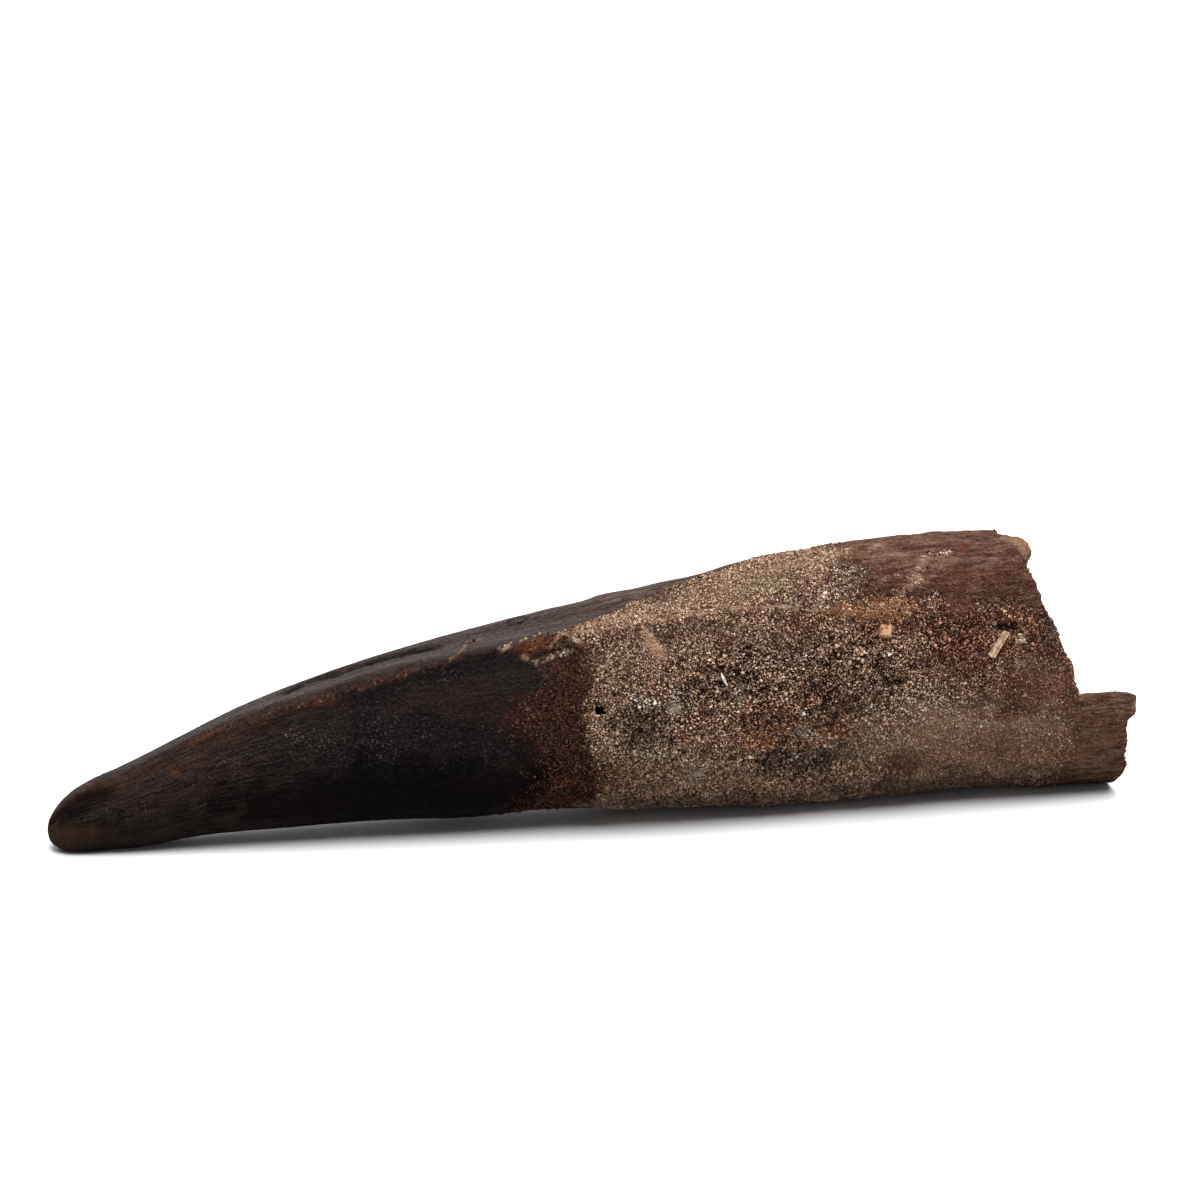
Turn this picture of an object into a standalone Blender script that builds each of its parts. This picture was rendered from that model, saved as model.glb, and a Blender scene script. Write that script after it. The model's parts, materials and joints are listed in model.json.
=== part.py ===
# Fossil spinosaurus tooth, one solid, lying on its concave edge with its tip towards -X.
# The crown has a raised cutting ridge, the root is swollen by a crust of cemented sand,
# and the broken end is a slanted rough face above a spur of the lower wall.

import math

import bmesh
import bpy
import numpy as np
from mathutils import Matrix, Vector, noise

# Lengths are in millimetres until the finished mesh is scaled to metres.
TO_METRES = 0.001

# The body is lofted from sections. A section stands at a distance from the tip, and an angle
# in it runs from straight up (0) over the front, -Y, side (90) to straight down (180).
BODY_LENGTH = 131.0
NOSE_RINGS = 6
BODY_RINGS = 56
RING_POINTS = 44
NOSE_LENGTH = 3.3

# Side view: (distance from the tip, height above the table).
UPPER_EDGE = [(0, 4.6), (3.8, 6.9), (10, 9.8), (22, 15.1), (38, 20.1), (56, 23.9), (73, 26.4),
              (85, 28.5), (97, 29.5), (108, 29.5), (116, 28.9), (131, 28.2)]
LOWER_EDGE = [(0, -0.7), (3.8, -0.5), (10, -0.1), (16, 0.6), (22, 0.95), (38, 1.1), (48, 0.8),
              (53, 1.2), (62, 0.9), (70, 0.8), (82, 0.0), (101, 0.0), (110, 0.0), (117, -0.35),
              (131, -0.4)]
# Top view: (distance from the tip, full width) and (distance, sideways shift of the middle).
WIDTH = [(0, 5.2), (3.8, 6.6), (10, 9.0), (22, 12.4), (38, 16.4), (56, 19.8), (73, 22.2),
         (91, 24.4), (103, 25.2), (131, 25.6)]
SIDE_BOW = [(0, 0.6), (30, 0.0), (70, -0.6), (131, 0.8)]
# How boxy the section is: 2 is an ellipse.
SQUARENESS = [(0, 2.1), (60, 2.1), (90, 2.2), (108, 2.3), (126, 2.8), (131, 2.8)]

# The cutting ridge: (distance, angle), how far it stands out, and how fast it fades sideways.
RIDGE_ANGLE = [(0, 12), (14, 17), (24, 24), (45, 29), (58, 33), (78, 36), (100, 38)]
RIDGE_HEIGHT = [(0, 0.0), (12, 0.4), (22, 1.1), (45, 1.7), (62, 1.3), (80, 0.5), (92, 0.0), (131, 0)]
RIDGE_SPREAD = 13.0
RIDGE_CROWDING = 29.0
# The dished facet above the ridge, and the weaker ridge on the far, hidden edge.
FACET_DEPTH = 0.45
FACET_OFFSET = -22.0
FACET_SPREAD = 13.0
REAR_RIDGE_TURN = 178.0
REAR_RIDGE_SHARE = 0.5

# The sand crust that thickens the root.
CRUST_START = 61.0
CRUST_EDGE = 1.6
CRUST_THICKNESS = 0.4
LUMP_HEIGHT = 0.3
LUMP_SIZE = 5.0
CROWN_WAVE_HEIGHT = 0.12
CROWN_WAVE_SIZE = 11.0

# Lumps and hollows: distance, angle, length along the tooth, width round it, height.
SWELLINGS = [
    (98.0, 62.0, 6.5, 4.0, 0.6),     # cemented pebble patch under the ridge
    (113.0, 70.0, 8.0, 6.0, -0.7),   # crumbling hollow by the break
    (108.0, 36.0, 7.0, 5.0, 0.4),
    (76.0, 70.0, 6.0, 5.0, -0.4),
    (70.0, 118.0, 9.0, 6.0, 0.35),
    (88.0, 125.0, 10.0, 5.0, -0.35),
    (84.0, 240.0, 11.0, 8.0, 0.5),
    (100.0, 285.0, 9.0, 7.0, -0.5),
]

# The small round hole in the crust.
PIT_DISTANCE = 60.4
PIT_ANGLE = 74.0
PIT_RADIUS = 0.6
PIT_DEPTH = 1.4

# The broken end. The upper face leans back from the ledge, and the spur ends further out.
LEDGE_DISTANCE = 117.5
LEDGE_HEIGHT = 12.6
LEDGE_FALL = 0.3
BREAK_LEAN = 0.40
BREAK_SKEW = -0.08
SPUR_DISTANCE = 123.0
SPUR_LEAN = 0.02
SPUR_SKEW = 0.14
FRONT_OF_BREAK = -10.0
SOCKET_DEPTH = 2.4
SOCKET_RADIUS = 7.5
KNOB_DISTANCE = 110.9
KNOB_ANGLE = 4.0
KNOB_SIZE = (2.4, 4.0, 2.1)
KNOB_ROUGHNESS = 0.6
BREAK_ROUGHNESS = 0.75
BREAK_GRAIN = 3.2
CUTTER_REACH = 24.0
CUTTER_CUTS = 11
NOISE_SEED = 5

TOOTH_COLOUR = (0.105, 0.062, 0.043, 1.0)
TOOTH_ROUGHNESS = 0.62


def along(points, distance):
    # Smooth curve through (distance, value) points, with the slope at each taken from its neighbours.
    xs = np.array([p[0] for p in points], float)
    ys = np.array([p[1] for p in points], float)
    slopes = np.gradient(ys, xs)
    i = int(np.clip(np.searchsorted(xs, distance) - 1, 0, len(xs) - 2))
    span = xs[i + 1] - xs[i]
    t = min(max((distance - xs[i]) / span, 0.0), 1.0)
    start = (2 * t**3 - 3 * t**2 + 1) * ys[i] + (t**3 - 2 * t**2 + t) * span * slopes[i]
    end = (3 * t**2 - 2 * t**3) * ys[i + 1] + (t**3 - t**2) * span * slopes[i + 1]
    return float(start + end)


def fade(value, start, end):
    t = min(max((value - start) / (end - start), 0.0), 1.0)
    return t * t * (3 - 2 * t)


def turn_between(a, b):
    # Degrees from b to a, the short way round.
    return (a - b + 180.0) % 360.0 - 180.0


def nose(distance):
    # The elliptical rounding of the blunt tip, as a share of the full section.
    if distance >= NOSE_LENGTH:
        return 1.0
    return math.sqrt(max(0.0, 1.0 - ((NOSE_LENGTH - distance) / NOSE_LENGTH) ** 2))


def middle(distance):
    height = (along(UPPER_EDGE, distance) + along(LOWER_EDGE, distance)) / 2
    return Vector((distance, along(SIDE_BOW, distance), height))


def plain_radius(distance, angle):
    half_height = (along(UPPER_EDGE, distance) - along(LOWER_EDGE, distance)) / 2
    half_width = along(WIDTH, distance) / 2
    power = along(SQUARENESS, distance)
    turn = math.radians(angle)
    up = (abs(math.cos(turn)) / half_height) ** power
    side = (abs(math.sin(turn)) / half_width) ** power
    return nose(distance) * (up + side) ** (-1 / power)


def ridge_relief(distance, angle):
    height = along(RIDGE_HEIGHT, distance)
    ridge = along(RIDGE_ANGLE, distance)
    away = turn_between(angle, ridge)
    rear = turn_between(angle, ridge + REAR_RIDGE_TURN)
    facet = away - FACET_OFFSET
    relief = math.exp(-abs(away) / RIDGE_SPREAD)
    relief += REAR_RIDGE_SHARE * math.exp(-abs(rear) / RIDGE_SPREAD)
    return height * relief - height * FACET_DEPTH * math.exp(-((facet / FACET_SPREAD) ** 2))


def swelling_relief(distance, angle, radius):
    relief = 0.0
    for at, facing, length, width, height in SWELLINGS:
        lengthways = (distance - at) / (length / 2)
        sideways = math.radians(turn_between(angle, facing)) * radius / (width / 2)
        relief += height * math.exp(-(lengthways**2) - sideways**2)
    return relief


def rough_relief(distance, angle, radius):
    turn = math.radians(angle)
    place = Vector((distance, radius * math.sin(turn), radius * math.cos(turn)))
    edge = CRUST_START + 3.0 * noise.noise(place / 6.0)
    crust = fade(distance, edge, edge + CRUST_EDGE)
    lumps = LUMP_HEIGHT * noise.noise(place / LUMP_SIZE)
    waves = CROWN_WAVE_HEIGHT * noise.noise(place / CROWN_WAVE_SIZE) * fade(distance, 4, 12)
    return waves + crust * (CRUST_THICKNESS + lumps)


def surface_point(distance, angle):
    radius = plain_radius(distance, angle)
    relief = ridge_relief(distance, angle) + rough_relief(distance, angle, radius)
    radius += relief + swelling_relief(distance, angle, radius)
    turn = math.radians(angle)
    return middle(distance) + radius * Vector((0.0, -math.sin(turn), math.cos(turn)))


def ring_distances():
    # Rings crowd together on the rounded tip and spread out towards the root.
    turns = [math.pi / 2 * (i + 1) / NOSE_RINGS for i in range(NOSE_RINGS)]
    nose_part = [NOSE_LENGTH * (1 - math.cos(turn)) for turn in turns]
    shares = [(i + 1) / BODY_RINGS for i in range(BODY_RINGS)]
    body_part = [NOSE_LENGTH + (BODY_LENGTH - NOSE_LENGTH) * (0.6 * s + 0.4 * s * s) for s in shares]
    return nose_part + body_part


def ring_angles(distance):
    # One point of each ring sits on the cutting ridge, and its neighbours crowd up to it.
    ridge = along(RIDGE_ANGLE, distance)
    shares = [k / RING_POINTS for k in range(RING_POINTS)]
    return [ridge + 360.0 * s - RIDGE_CROWDING * math.sin(2 * math.pi * s) for s in shares]


def lofted_body():
    mesh = bmesh.new()
    tip = mesh.verts.new(middle(0.0))
    rings = []
    for distance in ring_distances():
        rings.append([mesh.verts.new(surface_point(distance, a)) for a in ring_angles(distance)])
    for k in range(RING_POINTS):
        after = (k + 1) % RING_POINTS
        mesh.faces.new((tip, rings[0][k], rings[0][after]))
        for ring, following in zip(rings, rings[1:]):
            mesh.faces.new((ring[k], following[k], following[after], ring[after]))
    mesh.faces.new(rings[-1])
    bmesh.ops.recalc_face_normals(mesh, faces=mesh.faces)
    bmesh.ops.triangulate(mesh, faces=mesh.faces)
    return mesh


def object_from(mesh, name):
    data = bpy.data.meshes.new(name)
    mesh.to_mesh(data)
    mesh.free()
    made = bpy.data.objects.new(name, data)
    bpy.context.scene.collection.objects.link(made)
    return made


def rough_block(name, low, high, lean, skew, fall, socket):
    # A closed block with uneven faces. Its -X face leans with height and turns with depth, and
    # its underside falls with depth.
    mesh = bmesh.new()
    bmesh.ops.create_cube(mesh, size=1.0)
    bmesh.ops.subdivide_edges(mesh, edges=mesh.edges, cuts=CUTTER_CUTS, use_grid_fill=True)
    size, centre = Vector(high) - Vector(low), (Vector(high) + Vector(low)) / 2
    socket_height = (LEDGE_HEIGHT + along(UPPER_EDGE, LEDGE_DISTANCE)) / 2 - 1.5
    for vert in mesh.verts:
        x, y, z = (centre[i] + vert.co[i] * size[i] for i in range(3))
        depth = y - FRONT_OF_BREAK
        hollow = math.exp(-(y * y + (z - socket_height) ** 2) / SOCKET_RADIUS**2)
        near = 1.0 if vert.co.x < 0 else 0.0
        below = 1.0 if vert.co.z < 0 else 0.0
        rough = noise.noise_vector(Vector((x, y, z)) / BREAK_GRAIN) * BREAK_ROUGHNESS
        x -= lean * (z - LEDGE_HEIGHT) + skew * depth + near * socket * hollow
        vert.co = Vector((x, y, z - below * fall * depth)) + rough
    block = object_from(mesh, name)
    block.hide_render = True
    block.display_type = "WIRE"
    return block


def pit_cutter():
    mouth = surface_point(PIT_DISTANCE, PIT_ANGLE)
    inward = (middle(PIT_DISTANCE) - mouth).normalized()
    mesh = bmesh.new()
    bmesh.ops.create_icosphere(mesh, subdivisions=2, radius=1.0)
    stretch = Matrix.Diagonal((PIT_RADIUS * 1.35, PIT_RADIUS, PIT_DEPTH, 1.0))
    facing = inward.to_track_quat("Z", "Y").to_matrix().to_4x4()
    bmesh.ops.transform(mesh, matrix=Matrix.Translation(mouth) @ facing @ stretch, verts=mesh.verts)
    cutter = object_from(mesh, "pit_cutter")
    cutter.hide_render = True
    cutter.display_type = "WIRE"
    return cutter


def corner_knob():
    # A harder grain-cemented lump left standing at the upper corner of the break.
    centre = surface_point(KNOB_DISTANCE, KNOB_ANGLE) - Vector((0.0, 0.0, KNOB_SIZE[2] * 0.9))
    mesh = bmesh.new()
    bmesh.ops.create_icosphere(mesh, subdivisions=2, radius=1.0)
    for vert in mesh.verts:
        grown = Vector([vert.co[i] * KNOB_SIZE[i] for i in range(3)]) + centre
        vert.co = grown + noise.noise_vector(grown / 1.5) * KNOB_ROUGHNESS
    return object_from(mesh, "knob")


def combine(target, other, operation):
    modifier = target.modifiers.new(other.name, "BOOLEAN")
    modifier.operation = operation
    modifier.solver = "EXACT"
    modifier.object = other
    bpy.context.view_layer.objects.active = target
    bpy.ops.object.modifier_apply(modifier=modifier.name)
    bpy.data.objects.remove(other)


def flatten_underside(target):
    # The tooth is worn flat where it touches the table, under the tip and along the root.
    mesh = bmesh.new()
    mesh.from_mesh(target.data)
    parts = mesh.verts[:] + mesh.edges[:] + mesh.faces[:]
    bmesh.ops.bisect_plane(mesh, geom=parts, plane_co=(0, 0, 0), plane_no=(0, 0, 1), clear_inner=True)
    open_edges = [edge for edge in mesh.edges if edge.is_boundary]
    bmesh.ops.holes_fill(mesh, edges=open_edges, sides=0)
    bmesh.ops.triangulate(mesh, faces=mesh.faces)
    bmesh.ops.recalc_face_normals(mesh, faces=mesh.faces)
    mesh.to_mesh(target.data)
    mesh.free()


def set_on_origin(target):
    # Scaled to metres, with the middle of its footprint at the origin.
    corners = np.array([v.co for v in target.data.vertices])
    low, high = corners.min(axis=0), corners.max(axis=0)
    shift = Vector((-(low[0] + high[0]) / 2, -(low[1] + high[1]) / 2, -low[2]))
    target.data.transform(Matrix.Scale(TO_METRES, 4) @ Matrix.Translation(shift))


def dress(target):
    material = bpy.data.materials.new("fossil_tooth")
    material.use_nodes = True
    shader = material.node_tree.nodes["Principled BSDF"]
    shader.inputs["Base Color"].default_value = TOOTH_COLOUR
    shader.inputs["Roughness"].default_value = TOOTH_ROUGHNESS
    shader.inputs["Metallic"].default_value = 0.0
    target.data.materials.append(material)
    target.data.shade_smooth()
    target.data.set_sharp_from_angle(angle=math.radians(38))


def build_tooth():
    tooth = object_from(lofted_body(), "tooth")
    wide = CUTTER_REACH
    above = rough_block("upper_break", (LEDGE_DISTANCE, -wide, LEDGE_HEIGHT),
                        (LEDGE_DISTANCE + wide, wide, LEDGE_HEIGHT + wide + 4),
                        BREAK_LEAN, BREAK_SKEW, LEDGE_FALL, SOCKET_DEPTH)
    beyond = rough_block("spur_break", (SPUR_DISTANCE, -wide, -8.0),
                         (SPUR_DISTANCE + wide, wide, 20.0), SPUR_LEAN, SPUR_SKEW, 0.0, 0.0)
    combine(tooth, pit_cutter(), "DIFFERENCE")
    combine(tooth, above, "DIFFERENCE")
    combine(tooth, beyond, "DIFFERENCE")
    combine(tooth, corner_knob(), "UNION")
    flatten_underside(tooth)
    set_on_origin(tooth)
    dress(tooth)
    return tooth


def main():
    for obj in list(bpy.data.objects):
        bpy.data.objects.remove(obj)
    noise.seed_set(NOISE_SEED)
    build_tooth()


main()
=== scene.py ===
import json
import math

import bpy
import numpy as np
from mathutils import Matrix, Vector, noise

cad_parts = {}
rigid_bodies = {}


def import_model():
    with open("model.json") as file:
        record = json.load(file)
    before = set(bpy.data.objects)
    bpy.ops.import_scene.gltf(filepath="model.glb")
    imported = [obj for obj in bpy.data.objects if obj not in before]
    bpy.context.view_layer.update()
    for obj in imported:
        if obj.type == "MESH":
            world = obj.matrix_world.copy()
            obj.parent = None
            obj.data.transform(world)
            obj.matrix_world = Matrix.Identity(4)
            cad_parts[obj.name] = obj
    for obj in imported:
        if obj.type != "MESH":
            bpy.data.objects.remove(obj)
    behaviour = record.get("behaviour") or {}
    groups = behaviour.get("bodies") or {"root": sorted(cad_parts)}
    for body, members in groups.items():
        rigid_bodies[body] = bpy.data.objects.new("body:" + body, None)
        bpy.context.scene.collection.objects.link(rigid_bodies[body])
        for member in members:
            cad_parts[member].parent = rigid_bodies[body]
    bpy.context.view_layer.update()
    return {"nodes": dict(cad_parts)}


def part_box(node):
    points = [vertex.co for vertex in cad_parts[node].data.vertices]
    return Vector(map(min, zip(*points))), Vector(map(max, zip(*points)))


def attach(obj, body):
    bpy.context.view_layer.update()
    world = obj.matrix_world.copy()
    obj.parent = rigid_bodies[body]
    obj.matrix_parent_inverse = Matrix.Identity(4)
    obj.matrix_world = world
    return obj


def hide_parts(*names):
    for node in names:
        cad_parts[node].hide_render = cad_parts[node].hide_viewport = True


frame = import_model()
bpy.ops.object.select_all(action="DESELECT")
noise.seed_set(7)

scene = bpy.context.scene
scene.view_settings.view_transform = "Standard"
mm = 0.001
toothNode = frame["nodes"]["tooth"]
boxLow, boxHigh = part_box("tooth")
tipX = boxLow.x
inset = 0.02 * mm  # how far every piece stays inside the solid's box
frontFacing = 75  # the angle round the tooth that the photo looks at


def makeActive(obj):
    bpy.ops.object.select_all(action="DESELECT")
    obj.select_set(True)
    bpy.context.view_layer.objects.active = obj


def applyModifier(obj, modifier):
    makeActive(obj)
    bpy.ops.object.modifier_apply(modifier=modifier.name)


def pointsOf(obj):
    flat = np.empty(len(obj.data.vertices) * 3, np.float32)
    obj.data.vertices.foreach_get("co", flat)
    return flat.reshape(-1, 3).astype(float)


def normalsOf(obj):
    flat = np.empty(len(obj.data.vertices) * 3, np.float32)
    obj.data.vertex_normals.foreach_get("vector", flat)
    return flat.reshape(-1, 3).astype(float)


def setPoints(obj, points):
    # Nothing leaves the solid's box or sinks below the surface that the tooth lies on.
    for axis in range(3):
        low = boxLow[axis] + (inset if axis < 2 else 0)
        points[:, axis] = np.clip(points[:, axis], low, boxHigh[axis] - inset)
    obj.data.vertices.foreach_set("co", points.astype(np.float32).ravel())
    obj.data.update()


def storeFloat(obj, name, values):
    attribute = obj.data.attributes.get(name) or obj.data.attributes.new(name, "FLOAT", "POINT")
    attribute.data.foreach_set("value", np.clip(values, 0, 1).astype(np.float32))


def ramp(value, low, high):
    t = np.clip((value - low) / (high - low), 0, 1)
    return t * t * (3 - 2 * t)


def cloud(places, size, octaves=3, shift=0.0):
    # Soft noise from about -1 to 1. size is the width of a blob in mm.
    move = Vector((shift, 1.7 * shift, -shift))
    step = 1 / (size * mm)
    increment, lacunarity = 0.8, 2.0
    values = [noise.fractal(Vector(p) * step + move, increment, lacunarity, octaves) for p in places.tolist()]
    return np.array(values)


# Places on the tooth are given as mm from the tip and degrees round it: 0 is up, 90 the front.

def middleLine(obj):
    # The middle of each ring of the tooth, from near the tip to the foot of the spur.
    first, last, step, reach = 1 * mm, 12 * mm, 2 * mm, 1.8 * mm
    points = pointsOf(obj)
    stations = np.arange(boxLow.x + first, boxHigh.x - last, step)
    middles = []
    for x in stations:
        ring = points[np.abs(points[:, 0] - x) < reach]
        middles.append((ring.min(axis=0) + ring.max(axis=0)) / 2)
    return stations, np.array(middles)


def placesOn(points):
    y = np.interp(points[:, 0], stations, middles[:, 1])
    z = np.interp(points[:, 0], stations, middles[:, 2])
    away, rise = points[:, 1] - y, points[:, 2] - z
    angle = np.degrees(np.arctan2(-away, rise))
    return (points[:, 0] - tipX) / mm, angle, np.hypot(away, rise) / mm


def turned(angle, facing):
    return (angle - facing + 180) % 360 - 180


def spots(places, wobble):
    # Mask of soft-edged spots: (from tip, angle, length, width, turn, strength), lengths in mm.
    mask = np.zeros(len(fromTip))
    for at, facing, length, width, turn, strength in places:
        along = fromTip - at
        around = np.radians(turned(angle, facing)) * radius
        c, s = math.cos(math.radians(turn)), math.sin(math.radians(turn))
        reach = np.hypot((along * c + around * s) / length, (around * c - along * s) / width) * 2
        mask = np.maximum(mask, strength * (1 - ramp(reach + wobble, 0.55, 1.35)))
    return mask


def line(places, width, wander=0.0):
    # 1 on a line of (from tip, angle) places, falling off over its width in mm.
    best = np.full(len(fromTip), 1e9)
    for (a, facingA), (b, facingB) in zip(places, places[1:]):
        ax = fromTip - a
        ay = np.radians(turned(angle, facingA)) * radius
        bx = b - a
        by = math.radians((facingB - facingA + 180) % 360 - 180) * radius
        t = np.clip((ax * bx + ay * by) / (bx * bx + by * by), 0, 1)
        best = np.minimum(best, np.hypot(ax - t * bx, ay - t * by))
    return np.exp(-(np.maximum(best + wander, 0) / width) ** 2)


print("fine surface")
surfaceLook = {
    "voxel": 0.347 * mm,
    "bodySmoothing": 20,
    "endSmoothing": 3,
    "smoothing": 0.6,
    "breakFoot": (117.5, 12.6),  # mm from the tip, and the height there
    "breakLean": 0.36,
    "spurTop": 12 * mm,
    "spurFrom": 121.5,
}
tooth = bpy.data.objects.new("fossilTooth", toothNode.data.copy())
scene.collection.objects.link(tooth)
makeActive(tooth)
bpy.ops.object.mode_set(mode="EDIT")
bpy.ops.mesh.select_all(action="SELECT")
bpy.ops.mesh.remove_doubles(threshold=0.00001)
bpy.ops.object.mode_set(mode="OBJECT")
remesh = tooth.modifiers.new("fineSkin", "REMESH")
remesh.mode = "VOXEL"
remesh.voxel_size = surfaceLook["voxel"]
remesh.use_smooth_shade = True
applyModifier(tooth, remesh)
stations, middles = middleLine(tooth)
points = pointsOf(tooth)
fromTip, angle, radius = placesOn(points)

# The body is smoothed more than the broken end, whose edges stay crisp.
body = tooth.vertex_groups.new(name="body")
footAt, footHeight = surfaceLook["breakFoot"]
breakLine = footAt - surfaceLook["breakLean"] * (points[:, 2] / mm - footHeight)
endLine = np.where(points[:, 2] > surfaceLook["spurTop"], breakLine, surfaceLook["spurFrom"])
soft = ramp(endLine - fromTip, 0.6, 2.5)
for i in np.nonzero(soft > 0.05)[0].tolist():
    body.add([i], float(soft[i]), "REPLACE")
for steps, group in ((surfaceLook["bodySmoothing"], "body"), (surfaceLook["endSmoothing"], "")):
    smoothing = tooth.modifiers.new("smooth", "SMOOTH")
    smoothing.factor = surfaceLook["smoothing"]
    smoothing.iterations = steps
    smoothing.vertex_group = group
    applyModifier(tooth, smoothing)
print("  triangles", 2 * len(tooth.data.polygons))


print("zones")
# Noise patterns: the width of a blob in mm, the octaves and a shift that tells them apart.
cloudLook = {
    "coarse": (9, 3, 0), "medium": (3.2, 3, 11), "fine": (1.3, 3, 23), "tiny": (0.8, 2, 31),
    "streaky": (1.6, 3, 5), "fibres": (0.7, 3, 9), "palePatches": (2.2, 3, 47), "darkPatches": (5, 3, 61),
}
flowLook = {"squeeze": 14, "reach": 10 * mm, "mediumWander": 0.22 * mm, "fineWander": 0.16 * mm}
points = pointsOf(tooth)
normals = normalsOf(tooth)
fromTip, angle, radius = placesOn(points)
height = points[:, 2] / mm
coarse = cloud(points, *cloudLook["coarse"])
medium = cloud(points, *cloudLook["medium"])
fine = cloud(points, *cloudLook["fine"])
tiny = cloud(points, *cloudLook["tiny"])

# The flow place changes slowly along the tooth and fast round it, so noise in it makes fibres.
flow = np.stack([points[:, 0] / flowLook["squeeze"],
                 flowLook["reach"] * np.sin(np.radians(angle)),
                 flowLook["reach"] * np.cos(np.radians(angle))], 1)
streaky = cloud(flow, *cloudLook["streaky"])
fibres = cloud(flow, *cloudLook["fibres"])
raggedWobble = 0.45 * medium + 0.4 * fine
crispWobble = 0.35 * fine + 0.3 * tiny

# Where the crust begins, in mm from the tip, at each angle.
crustFrom = [(-180, 61), (-120, 63), (-60, 70), (-25, 84), (-9, 80), (-2, 73), (6, 67.5), (14, 64),
             (20, 60.5), (27, 57.4), (36, 59.4), (45, 59.8), (61, 59.8), (67, 58.9), (85, 58.4),
             (102, 59.6), (113, 61.1), (134, 60.9), (150, 60), (180, 61)]
startAngles, starts = np.array(crustFrom).T
behind = ramp(np.abs(turned(angle, frontFacing)), 85, 105)  # 1 on the side turned away from the photo
crustEdge = np.interp(angle, startAngles, starts) + 6 * coarse * behind
pastEdge = fromTip - crustEdge + 0.7 * medium + 0.7 * fine
crust = ramp(pastEdge, -0.35, 0.45)

# Dentine shows along the top of the root, down to these angles, and on the spur. The break is bare.
woodEdge = [(86, 21), (88, 31), (91, 37), (96, 41), (99, 42), (102.4, 44.5), (105.8, 47.5), (109, 50),
            (116, 53)]
woodAt, woodAngles = np.array(woodEdge).T
woodLimit = np.interp(fromTip, woodAt, woodAngles)
topOfRoot = ramp(fromTip + 3 * medium + 9 * coarse * behind, 87, 94)
topOfRoot *= 1 - ramp(angle + 9 * medium + 5 * streaky, woodLimit - 6, woodLimit + 4)
topOfRoot *= ramp(angle + 10 * medium + 24 * coarse, -56, -34)
spur = ramp(fromTip + 2.2 * medium, 112, 118)
isBreak = ramp(normals[:, 0], 0.55, 0.8) * ramp(fromTip, 108, 110)
bare = np.maximum.reduce([topOfRoot, spur, isBreak])

# A smooth film of fine sand lies low on the root and reaches up towards the spur.
lowFilm = ramp(fromTip + 4 * coarse, 87, 100) * ramp(angle + 10 * medium, 84, 104) * ramp(angle, 200, 170)
endFilm = ramp(fromTip + 4 * coarse, 103, 114) * ramp(angle + 10 * medium, 66, 84)
film = np.maximum(lowFilm, endFilm) * (1 - bare)

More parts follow.
